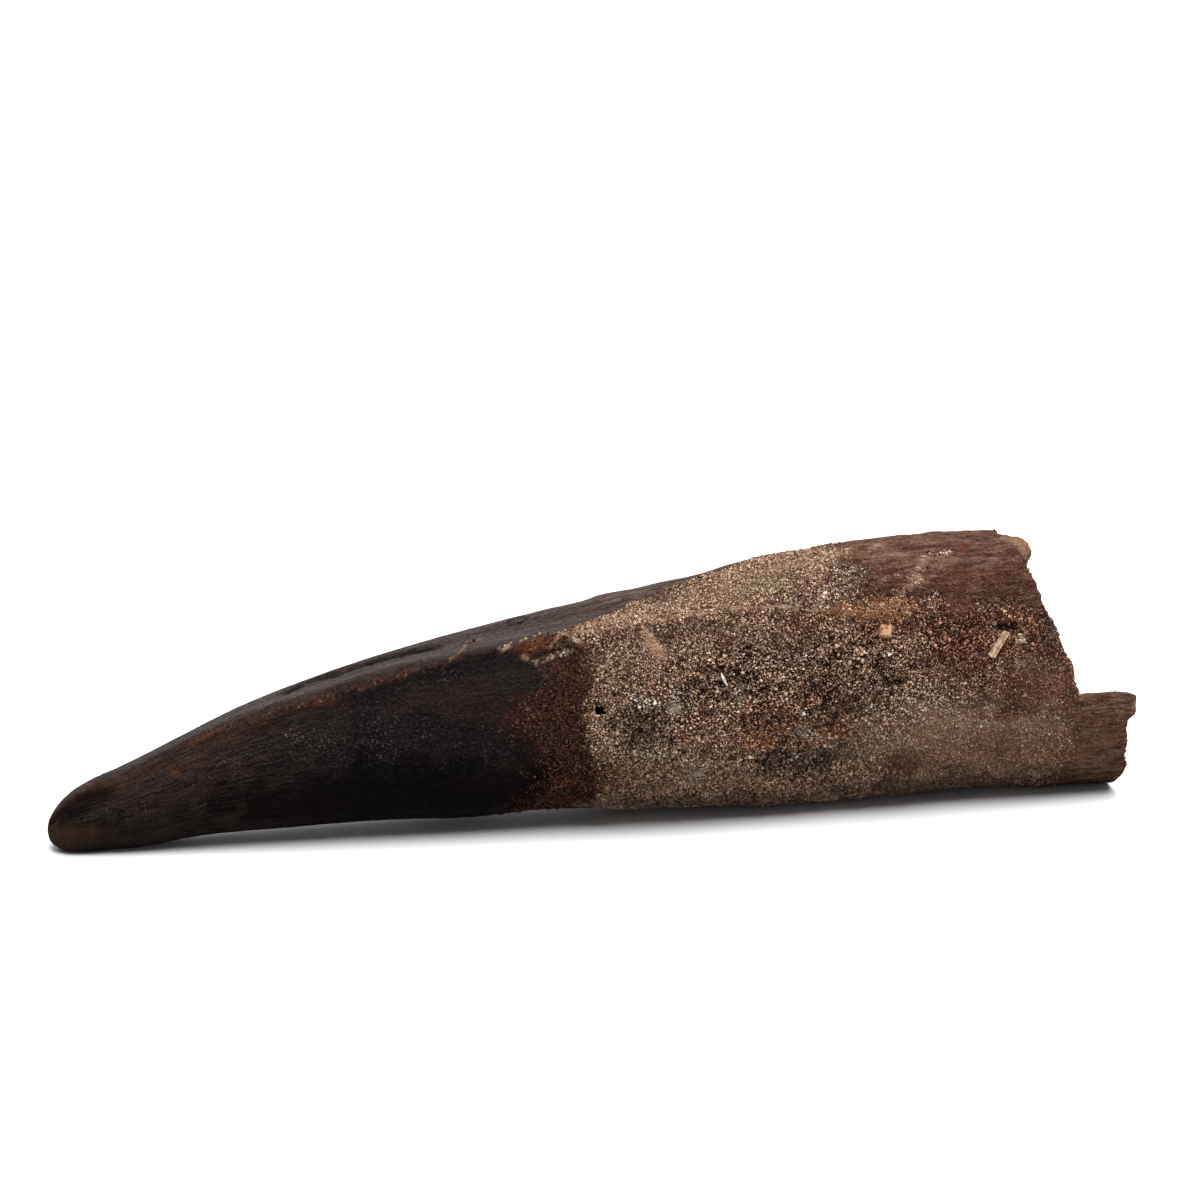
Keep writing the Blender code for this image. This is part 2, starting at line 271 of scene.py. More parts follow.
# Stains of the sand as spots: (from tip, angle, length, width, turn, strength), lengths in mm. One dark spot
# low on the root's underside is painted shade.
stainSpots = {
    "tan": [
        (63, 19, 9, 4.5, -4, 0.75), (71, 17, 14, 5.2, 4, 0.85), (80, 14, 13, 6.5, 0, 1),
        (88, 8, 11, 5, -3, 0.9), (63.6, 45, 9, 6.0, 10, 0.35), (61.5, 62, 3.6, 8, 0, 0.45),
        (61.5, 92, 3.4, 8, 0, 0.6), (67, 106, 13, 5, 6, 0.7), (83, 106, 13, 5, 6, 0.65),
        (106, 104, 18, 7, 0, 0.5), (71.9, 122, 19, 3.4, 8, 0.5), (90.5, 114, 14, 6.5, 5, 0.85),
        (67, 127, 7, 2.5, 6, 0.45), (73, 40, 12, 2.0, 4, 0.4), (75, 215, 16, 8, 0, 0.7),
        (92, 250, 18, 9, 10, 0.8), (72, 300, 14, 8, -10, 0.8), (112.2, 11, 3.6, 4.0, -31, 0.6),
        (92, 4, 10, 3, 0, 0.8), (96, 14, 9, 1.4, 0, 0.5), (101, 22, 8, 1.0, 5, 0.4),
        (118.5, 118, 11, 13, 0, 0.35), (63.5, 118, 7, 5, 4, 0.5)],
    "grey": [
        (65.4, 73, 3.6, 1.9, 35, 1), (68.7, 79, 2.4, 1.9, 6, 1), (70.8, 78, 2.0, 1.6, 6, 0.9),
        (69.4, 69, 2.8, 2.0, 6, 0.8), (79.9, 104, 2.8, 1.3, 12, 0.9), (83.3, 102, 2.3, 1.3, 6, 1),
        (86.9, 111, 2.2, 1.6, 9, 1), (83.7, 93, 2.4, 1.9, 6, 0.8), (66.5, 104, 3.4, 1.2, 11, 0.9),
        (71.6, 121, 2.2, 1.5, 6, 0.9), (70.3, 128, 1.8, 1.3, 5, 0.9), (90.7, 21, 4.6, 2.4, 10, 0.7),
        (88.2, 32, 9, 1.8, -3, 0.3), (82, 62, 10, 3, 5, 0.4), (97, 92, 13, 5, 5, 0.3),
        (106, 100, 10, 6, 0, 0.3), (80, 190, 12, 6, 10, 0.7), (100, 300, 10, 6, 0, 0.6)],
    "red": [
        (79.6, 95, 8.6, 4.6, 8, 0.8), (86.5, 93, 7, 5, 9, 0.7), (83.5, 46, 7, 2.2, 8, 0.6),
        (96.0, 125, 4.8, 2.9, 7, 1), (73, 64, 9, 3, 10, 0.3), (101, 66, 12, 7, 0, 0.55),
        (109, 74, 8, 9, 0, 0.6), (108, 118, 14, 4, -3, 0.5), (62, 124, 6, 4, 0, 0.6),
        (104, 61, 16, 10, 0, 1), (110, 80, 11, 12, 0, 0.95), (108, 38, 14, 5, 0, 0.8),
        (95.5, 36, 9, 3.4, 4, 0.95), (64, 36, 5, 1.2, 4, 0.5), (92.0, 52, 11, 3.6, 5, 0.85),
        (69.5, 41, 9, 1.6, 4, 0.45), (60.4, 43, 3, 3.4, 0, 0.4), (96, 170, 12, 7, 0, 0.6),
        (84, 270, 10, 6, -8, 0.6), (66, 235, 7, 6, 0, 0.5)],
    "rust": [
        (93.4, 44, 7.2, 2.4, 4, 0.95), (88.2, 43, 6.0, 1.7, 9, 0.65), (78.4, 104, 4.6, 2.6, 10, 0.85),
        (80.8, 98, 3, 1.4, 10, 0.5), (105.0, 13, 1.4, 1.5, 0, 0.7), (108.4, 53, 2.4, 1.1, 20, 0.8),
        (111.1, 68, 1.7, 0.9, 3, 0.8), (75.8, 92, 3, 1.6, 0, 0.4), (70.0, 98, 2.4, 1.8, 0, 0.5),
        (63.5, 112, 3.0, 2.0, 0, 0.4), (90, 214, 6, 3, 0, 0.7), (103, 262, 5, 3, 20, 0.7),
        (113.0, 9, 3.0, 4.0, -31, 0.45), (116.5, 124, 9, 3.0, -7, 0.5), (104, 30, 8, 1.2, 6, 0.3)],
    "pale": [
        (68.7, 79, 1.9, 1.5, 6, 0.9), (83.3, 102, 1.7, 1.0, 6, 0.6), (86.9, 111, 1.5, 1.1, 9, 0.6),
        (71.6, 121, 1.7, 1.2, 6, 1), (70.3, 128, 1.5, 1.0, 5, 1), (109.4, 64, 1.5, 1.3, 8, 0.8),
        (93.4, 65.4, 0.8, 0.6, 0, 1), (97.5, 80, 0.5, 0.5, 0, 1), (98.2, 82, 0.5, 0.5, 0, 1),
        (97.6, 85.5, 0.6, 0.5, 0, 1), (91.0, 92.4, 0.9, 0.7, 0, 1), (123.1, 104, 1.2, 1.6, 0, 0.8),
        (98.1, 32, 2.0, 1.5, 9, 0.3), (99.4, 19, 1.5, 1.1, 11, 0.3), (65.2, 72, 2.0, 0.9, 35, 0.5)],
    "dark": [
        (64.9, 84, 7.0, 5.0, 9, 0.75), (64.6, 97, 5.0, 2.6, 10, 0.75), (84.4, 118.5, 10.5, 4.2, 7, 0.95),
        (75.4, 108, 3.0, 1.8, 8, 0.3), (75.2, 68, 8.6, 4.4, 9, 0.6), (88.2, 85, 9.0, 5.2, 8, 0.5),
        (81.0, 55, 15, 4.6, 8, 0.5), (72.3, 38, 10.4, 1.9, 4, 0.6), (90.0, 67, 7.4, 3.6, 6, 0.5),
        (70.6, 66, 3.0, 1.4, 0, 0.6), (93.5, 80, 2.6, 1.3, 8, 0.9), (96, 125, 3.0, 1.7, 7, 0.6),
        (87.5, 88, 2.4, 2.4, 0, 0.5), (76, 150, 34, 5, 0, 0.8), (100, 140, 20, 3, 0, 0.5),
        (66, 147, 12, 5, 0, 0.8), (86, 200, 10, 6, 0, 0.6), (78, 250, 9, 6, 0, 0.6),
        (98, 225, 7, 4, 0, 0.6), (112, 280, 6, 5, 0, 0.5), (118.6, 96, 8, 2.4, 0, 0.8),
        (99, 38, 12, 1.4, 9, 0.6), (91, 27, 8, 1.6, 4, 0.3), (109, 36, 6, 2.2, 20, 0.7),
        (113.0, 55, 4.2, 3.2, 30, 0.9), (109.5, 62, 5.5, 2.4, 10, 0.8), (111.5, 78, 4.5, 2.0, 40, 0.5),
        # painted shade: the long spot at 104 mm and 149 degrees darkens the root's underside
        (104, 149, 38, 7.4, 0, 0.95), (109, 43, 8, 3.0, 0, 0.5), (112, 72, 5, 5, 0, 0.4)],
}
offBreak = 1 - 0.85 * isBreak * ramp(radius, 12, 9.5)  # the middle of the break is hardly stained
tan = spots(stainSpots["tan"], raggedWobble) * offBreak
grey = spots(stainSpots["grey"], crispWobble) * offBreak
red = spots(stainSpots["red"], raggedWobble) * offBreak
rustPatches = ramp(coarse - 0.3 * medium, 0.5, 0.75) * crust
rust = np.maximum(spots(stainSpots["rust"], crispWobble), 0.5 * rustPatches)
palePatches = ramp(cloud(points, *cloudLook["palePatches"]), 0.6, 0.8) * crust * (1 - bare)
pale = np.maximum(spots(stainSpots["pale"], crispWobble) * offBreak, 0.55 * palePatches)
darkPatches = ramp(cloud(points, *cloudLook["darkPatches"]), 0.25, 0.6) * crust
dark = np.maximum(spots(stainSpots["dark"], raggedWobble), 0.55 * darkPatches)

# Single marks, each a few spots or a path of (from tip, angle) places.
marks = {
    "knob": [(112.6, 11, 3.4, 4.4, -31, 1)],
    "brownLens": [(57.4, 36, 3.8, 1.9, 11, 1)],
    "blackGaps": [(50.8, 52, 9.0, 1.5, 6, 0.8), (56.2, 56, 5, 2.4, 0, 0.5)],
    "chips": [(93.4, 65.4, 0.9, 0.7, 0, 1), (97.5, 80, 0.6, 0.6, 0, 1), (98.2, 82, 0.6, 0.6, 0, 1),
              (97.6, 85.5, 0.7, 0.6, 0, 1), (91.0, 92.4, 0.9, 0.7, 0, 1)],
    "worn": [(1.2, 118, 4.4, 4.4, 11, 0.9), (4.6, 112, 5.0, 1.7, 6, 0.7), (3.4, 12, 5.6, 2.2, 3, 0.9),
             (6.6, 27, 4.4, 1.8, 4, 0.7), (0.3, 60, 2.2, 5.0, 0, 0.7), (1.0, 240, 4.4, 5.0, 0, 0.8)],
    "tipShade": [(3.8, 46, 7.0, 2.8, -8, 1)],
    "underShade": [(40, 122, 52, 9, 2, 1)],
    "facetSwelling": [(37.0, 13, 6.4, 2.6, 29, 1)],
    "tipSwelling": [(3.6, 8, 7.5, 8.0, 0, 1)],
    "curlLip": [(46.1, 29, 2.0, 0.8, 3, 1), (47.0, 20, 2.6, 0.7, -65, 1)],
    "knobCorner": [(113.2, 4, 2.4, 4.6, 0, 1)],
    "orangeLump": [(93.8, 44.5, 7.0, 2.6, 4, 1), (89.0, 43, 5.0, 1.6, 9, 0.7)],
    "cavityLip": [(107.8, 51, 3.2, 2.0, 8, 1)],
    "pebbly": [(75.2, 66, 11, 6.0, 9, 1), (90.0, 66, 11, 6.0, 6, 1), (82, 84, 13, 7, 8, 0.8),
               (100, 58, 9, 5, 4, 0.7), (82.9, 118, 11, 5, 7, 0.8), (66, 92, 9, 6, 9, 0.7),
               (84, 215, 22, 10, 0, 0.9), (98, 285, 14, 8, 0, 0.9)],
    "cavities": [(107.6, 58, 3.6, 1.7, 6, 1), (110.3, 68, 3.2, 2.0, 43, 0.7), (94.7, 80, 1.7, 1.0, 8, 0.9),
                 (72.4, 84, 1.6, 0.8, 20, 0.6), (89.2, 87, 1.6, 1.0, 10, 0.6), (62.2, 66, 1.2, 0.7, 0, 0.7)],
    "pit": [(60.5, 75, 1.05, 0.72, 8, 1), (60.2, 71.6, 0.34, 0.7, 0, 1), (61.1, 76.5, 0.6, 0.3, 20, 1)],
    "crumbs": [(93.4, 65.4, 0.6, 0.5, 0, 1), (97.6, 80, 0.5, 0.5, 0, 1), (98.2, 82.4, 0.5, 0.5, 0, 1),
               (97.6, 85.5, 0.5, 0.5, 0, 1), (91.0, 92.4, 0.6, 0.5, 0, 1), (108.0, 52, 2.6, 1.4, 10, 1),
               (111.1, 68, 1.7, 0.9, 3, 1), (112.1, 74, 1.2, 0.9, 0, 1), (109.4, 64, 1.6, 1.4, 8, 1)],
}
paths = {
    "flake": [(66.1, 37), (66.5, 42.5), (67.0, 47), (68.0, 50)],
    "flakeRim": [(66.6, 37), (67.3, 41.5), (67.4, 45.5), (68.4, 47), (68.9, 51.5)],
    "tanLine": [(58.4, 29), (61.2, 31.5), (66.6, 31.5), (71.8, 30.5), (77.3, 32.4), (82.7, 37.2), (87, 42)],
    "lensRim": [(55.7, 35), (56.1, 33), (57.1, 28), (57.9, 30), (58.4, 34), (59.2, 37)],
    "patchTop": [(50.1, 31), (51.5, 30), (53.0, 27), (54.9, 24), (57.1, 27)],
    "patchFoot": [(52.3, 36), (54.0, 41.5), (55.1, 40.5), (56.6, 39.5), (58.1, 39)],
    "redLine": [(56.6, 26.4), (58.1, 25), (60.0, 22.5), (61.7, 21.7)],
    "lensGroove": [(26.5, 357), (28.7, 355), (30.8, 353), (33.8, 355), (36.5, 357), (39.4, 358), (41.6, 0),
                   (44.3, 5)],
    "curl": [(44.6, 30), (45.6, 28.6), (46.6, 22), (46.9, 14), (47.8, 8.5), (48.6, 11)],
    "curlMark": [(52.2, -5), (52.8, -9), (54.0, -9), (54.6, -4), (53.6, 0), (52.4, -1)],
    "tipGroove": [(0.6, 66), (1.1, 46), (2.0, 38), (3.1, 34), (4.6, 36), (6.4, 42)],
    "crumbWeb": [(94.5, 44), (96.0, 37), (98.0, 32.5), (98.6, 26), (99.6, 19), (102.6, 17.5)],
    "crumbBranch": [(94.0, 29.5), (96.2, 28), (98.0, 32.5)],
}
flake = ramp(line(paths["flake"], 0.62, 0.25 * fine + 0.15 * tiny), 0.30, 0.55)
flakeRim = line(paths["flakeRim"], 0.15, 0.15 * fine)
knob = spots(marks["knob"], 0.3 * fine) * ramp(radius, 9.5, 11.5)
tanLine = line(paths["tanLine"], 0.25, 0.25 * fine) * ramp(medium + fine, -1.3, -0.5) * crust
brownLens = spots(marks["brownLens"], 0.25 * fine) * ramp(pastEdge, 2.0, 0.4)
lensRim = line(paths["lensRim"], 0.20, 0.25 * fine)
patchEdge = np.maximum(line(paths["patchTop"], 0.22, 0.3 * fine), line(paths["patchFoot"], 0.18, 0.3 * fine))
patchEdge *= ramp(fine + tiny, -0.5, 0.3)
redLine = line(paths["redLine"], 0.28, 0.3 * fine)
chips = spots(marks["chips"], 0.1 * fine)
worn = spots(marks["worn"], 0.4 * medium + 0.2 * fine)

# The reddish band between the black crown and the crust, with sand grown into it.
bandFrom = [(-180, 50), (-60, 51), (0, 61), (20, 60), (28, 53), (40, 54), (50, 54.5), (60, 51.8), (75, 50.8),
            (88, 52.0), (110, 52.8), (137, 52.0), (180, 50)]
bandAngles, bandStarts = np.array(bandFrom).T
pastBand = fromTip - (np.interp(angle, bandAngles, bandStarts) + 7 * coarse * behind)
redBand = ramp(pastBand + 1.8 * medium + 1.5 * fine, -2.2, 2.6) * (1 - crust)
redBand *= 1 - spots(marks["blackGaps"], 0.3 * medium)
onFacet = 1 - ramp(np.abs(turned(angle, -8)), 25, 34)
bandSand = redBand * ramp(pastBand + 2 * medium + fine, -1.8, 4.0) * (1 - onFacet)
redBand *= 1 - 0.75 * onFacet

# Stains of the crown, given as the sand's are.
crownSpots = {
    "ruddy": [
        (11, 24, 8, 4.4, -4, 0.8), (15, 36, 11, 4.5, 8, 0.7), (20, 32, 9, 2.4, 4, 0.8),
        (14.2, 53, 2.4, 1.2, 20, 0.9), (28.1, 32.0, 10, 0.9, 3, 0.6), (35.7, 33, 10, 0.8, 1, 0.5),
        (31, 37, 9, 2.6, 6, 0.5), (42, 46, 15, 3.2, 5, 0.4), (47, 60, 12, 3.0, 6, 0.45),
        (17.2, 87, 7, 1.4, 2, 0.7), (20, 72, 5, 1.4, -7, 0.6), (12.3, 77, 4, 1.1, 5, 0.6),
        (33.8, 352, 2.0, 1.6, 0, 0.8), (38.9, 352, 11, 2.4, 11, 0.7), (48, 10, 9, 2.2, 6, 0.5),
        (66, 355, 16, 6, 0, 0.5), (45, 118, 8, 3, 0, 0.3), (25, 210, 20, 4, 0, 0.5),
        (40, 250, 22, 5, 4, 0.5), (20, 300, 16, 4, 0, 0.6), (45, 320, 14, 4, 0, 0.5)],
    "ember": [
        (30.5, 35, 3.0, 0.7, 11, 0.4), (28.0, 33.5, 5.4, 0.4, 5, 0.3), (53.9, 33, 4.2, 1.5, -3, 0.65),
        (56.3, 31, 2.4, 0.9, -15, 0.6), (33.8, 352, 1.2, 1.0, 0, 0.4), (17.5, 26, 3, 0.5, 5, 0.4),
        (14.2, 52, 1.4, 0.6, 20, 0.5), (56.9, 124, 3.4, 2.6, 6, 0.5)],
    "dust": [
        (27.4, 54, 2.6, 2.0, 13, 0.9), (30.5, 67, 2.4, 2.6, 12, 1), (36.5, 75, 3.6, 5.0, 10, 1),
        (48.9, 75, 4.2, 1.0, 11, 1), (44.4, 38, 1.5, 1.3, 10, 0.9), (41.2, 74, 2.0, 0.8, 27, 0.9),
        (50.5, 91, 7, 1.1, 6, 0.7), (55.5, 87, 2.4, 2.0, 3, 0.9), (42.8, 97, 2.6, 2.2, 6, 0.6),
        (34, 70, 16, 6, 6, 0.45), (47, 95, 14, 5, 5, 0.4), (20, 66, 6, 3, 0, 0.4),
        (17.7, 98, 4, 1.4, 5, 0.6), (8, 84, 7, 3, 0, 0.4), (47, 21, 3.2, 1.2, -60, 0.9),
        (46.2, 28, 2.2, 0.7, 0, 1), (30, 240, 12, 4, 0, 0.5), (46, 290, 8, 3, 0, 0.5)],
}
ruddy = spots(crownSpots["ruddy"], 0.5 * streaky + 0.4 * fine)
ember = spots(crownSpots["ember"], crispWobble)
dust = spots(crownSpots["dust"], raggedWobble)


print("relief")
ridgeLook = {
    "behindWidth": 1.5,  # mm over which the crest falls off on the facet's side
    "frontWidth": 0.55,
    "rises": [(12, 0.16), (24, 0.40), (50, 0.36), (58, 0.16)],  # (from tip, mm)
    "hollow": (2.0, 1.4, 0.16),  # the dish below the ridge: mm from it, width, depth
    "crustWidth": 0.3,
    "stainAt": 0.10,
    "stainWidth": 0.25,
}
ridgeLine = [(13, 16), (17.2, 22), (20.7, 28.5), (24, 31), (28.1, 32.2), (34.4, 32.8), (39.5, 31.5),
             (44.6, 31), (49, 30.3), (52.3, 31), (58.1, 28.8), (61.2, 31.5), (66.6, 31.5), (71.8, 30.5),
             (77.3, 32.4), (82.7, 37.2), (89.3, 45)]
ridgeAt, ridgeFacing = np.array(ridgeLine).T
fromRidge = np.radians(turned(angle, np.interp(fromTip, ridgeAt, ridgeFacing))) * radius
fromRidge = fromRidge + 0.16 * fine + 0.12 * tiny
ridgeOn = ramp(fromTip, 12, 22) * ramp(fromTip, 92, 84)
crestWidth = np.where(fromRidge < 0, ridgeLook["behindWidth"], ridgeLook["frontWidth"])
crest = np.exp(-np.abs(fromRidge) / crestWidth)
riseAt, rises = np.array(ridgeLook["rises"]).T
hollowAt, hollowWidth, hollowDepth = ridgeLook["hollow"]
hollow = np.exp(-((fromRidge - hollowAt) / hollowWidth) ** 2)
relief = ridgeOn * (np.interp(fromTip, riseAt, rises) * crest - hollowDepth * hollow)

enamel = (1 - crust) * (1 - bare)
lensGroove = line(paths["lensGroove"], 0.80, 0.55 * fine + 0.35 * tiny)
lensGroove *= ramp(fromTip, 25.5, 27.5) * ramp(fromTip, 45.5, 43)
curl = line(paths["curl"], 0.17, 0.3 * fine)
curlMark = line(paths["curlMark"], 0.22)
tipGroove = line(paths["tipGroove"], 0.40, 0.1 * fine)
tipShade = spots(marks["tipShade"], 0.4 * fine)
pebbly = spots(marks["pebbly"], raggedWobble)
sandLumps = 0.10 * medium + (0.05 + 0.13 * pebbly) * fine + (0.03 + 0.07 * pebbly) * tiny
orangeLump = spots(marks["orangeLump"], 0.6 * fine + 0.35 * tiny)
crumbLines = line(paths["crumbWeb"], 0.32, 0.35 * fine)
crumbLines = np.maximum(crumbLines, line(paths["crumbBranch"], 0.22, 0.35 * fine))
crumbLines *= ramp(fine + tiny, -1.2, -0.4)
gaps = crust * pebbly * (1 - film) * ramp(-(fine + 1.2 * tiny), 0.40, 0.75)  # holes between the coarse grains
cavity = spots(marks["cavities"], 0.3 * fine)
pit = spots(marks["pit"], 0.3 * fine + 0.3 * tiny)

# Each feature: how far it stands above the skin in mm (below it, where negative), and where it is.
absFine = np.abs(fine)
features = [
    (0.14, ridgeOn * crust * np.exp(-(fromRidge / ridgeLook["crustWidth"]) ** 2)),
    (0.035 * streaky + 0.03 * fibres + 0.035 * medium, enamel),
    (0.07 * fibres + 0.05 * streaky, bare * (1 - isBreak)),
    (-0.20, lensGroove), (-0.12, curlMark), (-0.40, tipGroove), (0.14, curl),
    (0.14, spots(marks["facetSwelling"], 0.1 * fine)),
    (0.20, spots(marks["tipSwelling"], 0.1 * fine)),
    (0.20, spots(marks["curlLip"], 0.3 * fine)),
    (sandLumps, crust * (1 - 0.75 * film)),
    (0.12, crust * ramp(pastEdge, 3.0, 0.6)),  # the crust stands up a little at its edge
    (-0.16, crust * (1 - bare)),  # room for the grains that lie over it
    (0.14, flake), (0.10, flakeRim), (0.16, brownLens), (0.10, lensRim), (0.35, knob),
    (0.45, spots(marks["knobCorner"], 0.2 * fine)),
    (0.05, bandSand * tiny), (-0.10, bandSand * (1 - brownLens)),
    (0.24 + 0.32 * absFine, orangeLump),
    (0.12, crumbLines),
    (0.266 + 0.228 * absFine, spots(marks["cavityLip"], 0.3 * fine)),
    (-0.20, gaps), (-0.65 - 0.4 * fine, cavity), (-1.1, pit),
    (0.16 * medium + 0.14 * fine + 0.10 * tiny, isBreak),
]
for lift, where in features:
    relief += lift * where

# The spur's end face, from its foot to the knob at its top: (height, how far it is moved out), in mm.
spurProfile = [(2.5, 1.2), (3.9, 0.75), (4.6, 0.0), (5.6, -0.35), (7.3, -0.35), (9.1, -0.75), (10.4, -0.75),
               (11.3, 0.5)]
spurLook = {"roughness": 0.22, "topLift": 0.45 * mm, "tipShift": 0.12 * mm}
endHeights, endMoves = np.array(spurProfile).T
moved = points + normals * (relief * mm)[:, None]
spurEnd = ramp(fromTip, 117.5, 121.5) * np.interp(height, endHeights, endMoves)
moved[:, 0] += (spurEnd - spurLook["roughness"] * medium * ramp(fromTip, 119.5, 122.5)) * mm
spurTop = ramp(fromTip, 117, 120) * ramp(height, 12.0, 13.0) * ramp(fromTip, 123.2, 121.8)
moved[:, 2] += spurLook["topLift"] * spurTop
moved[:, 0] -= spurLook["tipShift"] * ramp(fromTip, 2.6, 0.0)  # the smoothing drew the tip in by this much
setPoints(tooth, moved)

# What the materials read. Thin pale lines and rims share the masks of the pale and the smooth sand.
paleParts = [pale, 0.7 * flakeRim, 0.15 * crumbLines, 0.4 * curl, 0.6 * lensRim, 0.7 * patchEdge,
             0.25 * tanLine]
smoothParts = [0.9 * flake, flakeRim, knob, tanLine, lensRim, patchEdge, 0.6 * curl, 0.7 * crumbLines]
evenSand = 0.28 * tan + 0.25 * film + 0.2 * (1 - pebbly) * (1 - grey) + 0.8 * pale
facetDust = onFacet * ramp(fromTip + 4 * coarse, 54, 70) * (1 - crust)
tipShades = np.maximum(tipGroove, 0.85 * tipShade)
masks = {
    "crust": crust, "bare": bare, "film": film, "grey": grey, "red": red, "redBand": redBand,
    "bandSand": bandSand, "brownLens": brownLens, "ruddy": ruddy, "ember": ember, "dust": dust, "worn": worn,
    "tan": np.maximum(tan, 0.9 * crumbLines),
    "rust": np.maximum(rust, 0.8 * redLine),
    "pale": np.maximum.reduce(paleParts),
    "flake": np.maximum.reduce(smoothParts) * (1 - 0.5 * knob),
    "clay": orangeLump,
    "even": np.clip(evenSand, 0, 0.8) * (1 - chips),
    # painted shade: the dark stain also darkens the pit, the cavities and the gaps between the coarse grains
    "dark": np.maximum.reduce([dark, pit, 0.9 * cavity, 0.8 * gaps]),
    # painted shade: the inside of the pit is painted black
    "hole": 1.7 * pit,
    "faded": np.maximum(facetDust, 0.20 * ramp(fromTip, 34, 20)),
    "ridge": ridgeOn * np.exp(-((fromRidge - ridgeLook["stainAt"]) / ridgeLook["stainWidth"]) ** 2)
             * ramp(fromTip, 50, 40),
    # painted sheen: the upper facet above the ridge is made lighter, where light falls on the side that faces
    # up
    "facet": ramp(-fromRidge, -0.3, 0.2) * ramp(fromRidge, -15, -9) * ramp(fromTip, 12, 24),
    # painted shade: the grooves, the tip groove and the crown's underside are painted near black
    "grooves": lensGroove + curlMark + tipShades + 0.8 * spots(marks["underShade"], 0.5 * medium),
}
for name, values in masks.items():
    storeFloat(tooth, name, values)
flowLine = tooth.data.attributes.new("flow", "FLOAT_VECTOR", "POINT")
straight = np.stack([fromTip * mm,
                     flow[:, 1] + flowLook["mediumWander"] * medium,
                     flow[:, 2] + flowLook["fineWander"] * fine], 1)
flowLine.data.foreach_set("vector", straight.astype(np.float32).ravel())


print("sand grains")
sandLook = {
    "spacing": 0.122 * mm,
    "behindSpacing": 0.170 * mm,
    "smallest": 0.065 * mm,
    "largest": 0.140 * mm,
    "shapes": 8,
    "lift": 0.07 * mm,
    "behindLargest": 0.175 * mm,
    "frontReach": 95,
    "pieces": {  # mm from the tip, and whether the piece is on the photo's side
        "sandByCrown": (48, 72, True),
        "sandLower": (72, 90, True),
        "sandUpper": (90, 126, True),
        "sandBehind": (48, 88, False),
        "sandBehindRoot": (88, 126, False),
    },
}
pebbleLook = {"spacing": 0.42 * mm, "smallest": 0.13 * mm, "largest": 0.28 * mm, "lift": 0.06 * mm,
              "seed": 11, "shapes": 5}
crumbLook = {"spacing": 0.26 * mm, "smallest": 0.12 * mm, "largest": 0.24 * mm, "lift": 0.08 * mm, "seed": 17}


def grainShapes(name, count, rounds):
    # A few crooked grains of radius 1, kept in a collection of their own.
    shapes = bpy.data.collections.new(name)
    scene.collection.children.link(shapes)
    for k in range(count):
        if rounds:
            bpy.ops.mesh.primitive_ico_sphere_add(subdivisions=1, radius=1)
        else:
            bpy.ops.mesh.primitive_cone_add(vertices=3, radius1=1.3, depth=1.8)
        grain = bpy.context.active_object
        grain.name = f"{name}{k}"
        for vert in grain.data.vertices:
            push = 1 + 0.7 * noise.noise(vert.co * 1.7 + Vector((k * 3.1, 0, 0)))
            vert.co = Vector((vert.co.x * push, vert.co.y * push * (0.65 + 0.07 * k),
                              vert.co.z * push * 0.85))
        for owner in list(grain.users_collection):
            owner.objects.unlink(grain)
        shapes.objects.link(grain)
    return shapes


def addNode(tree, kind, values=None, **settings):
    made = tree.nodes.new(kind)
    for key, value in settings.items():
        setattr(made, key, value)
    for key, value in (values or {}).items():
        if isinstance(value, bpy.types.NodeSocket):
            tree.links.new(value, made.inputs[key])
        else:
            made.inputs[key].default_value = value
    return made


def scatterTree(shapes, look, seed):
    # Spreads grains evenly where cover is high, each with a tone of its own.
    tree = bpy.data.node_groups.new("scatterSand", "GeometryNodeTree")
    tree.interface.new_socket("Surface", in_out="INPUT", socket_type="NodeSocketGeometry")
    tree.interface.new_socket("Grains", in_out="OUTPUT", socket_type="NodeSocketGeometry")
    surface = addNode(tree, "NodeGroupInput")
    result = addNode(tree, "NodeGroupOutput")
    cover = addNode(tree, "GeometryNodeInputNamedAttribute", {"Name": "cover"}, data_type="FLOAT")
    spreading = {
        "Mesh": surface.outputs[0], "Distance Min": look["spacing"], "Seed": seed,
        "Density Max": 3.0 / look["spacing"]**2, "Density Factor": cover.outputs["Attribute"],
    }
    spread = addNode(tree, "GeometryNodeDistributePointsOnFaces", spreading, distribute_method="POISSON")
    tone = addNode(tree, "FunctionNodeRandomValue", data_type="FLOAT")
    toning = {"Geometry": spread.outputs["Points"], "Name": "tone", "Value": tone.outputs[1]}
    toned = addNode(tree, "GeometryNodeStoreNamedAttribute", toning, data_type="FLOAT", domain="POINT")
    picking = {"Collection": shapes, "Separate Children": True, "Reset Children": True}
    pick = addNode(tree, "GeometryNodeCollectionInfo", picking)
    anyTurn = {"Max": (math.tau, math.tau, math.tau)}
    turn = addNode(tree, "FunctionNodeRandomValue", anyTurn, data_type="FLOAT_VECTOR")
    sizing = {2: look["smallest"], 3: look["largest"], "Seed": 3}
    size = addNode(tree, "FunctionNodeRandomValue", sizing, data_type="FLOAT")
    placing = {
        "Points": toned.outputs["Geometry"], "Instance": pick.outputs[0], "Pick Instance": True,
        "Rotation": turn.outputs[0], "Scale": size.outputs[1],
    }
    place = addNode(tree, "GeometryNodeInstanceOnPoints", placing)
    real = addNode(tree, "GeometryNodeRealizeInstances", {"Geometry": place.outputs["Instances"]})
    tree.links.new(real.outputs["Geometry"], result.inputs[0])
    return tree


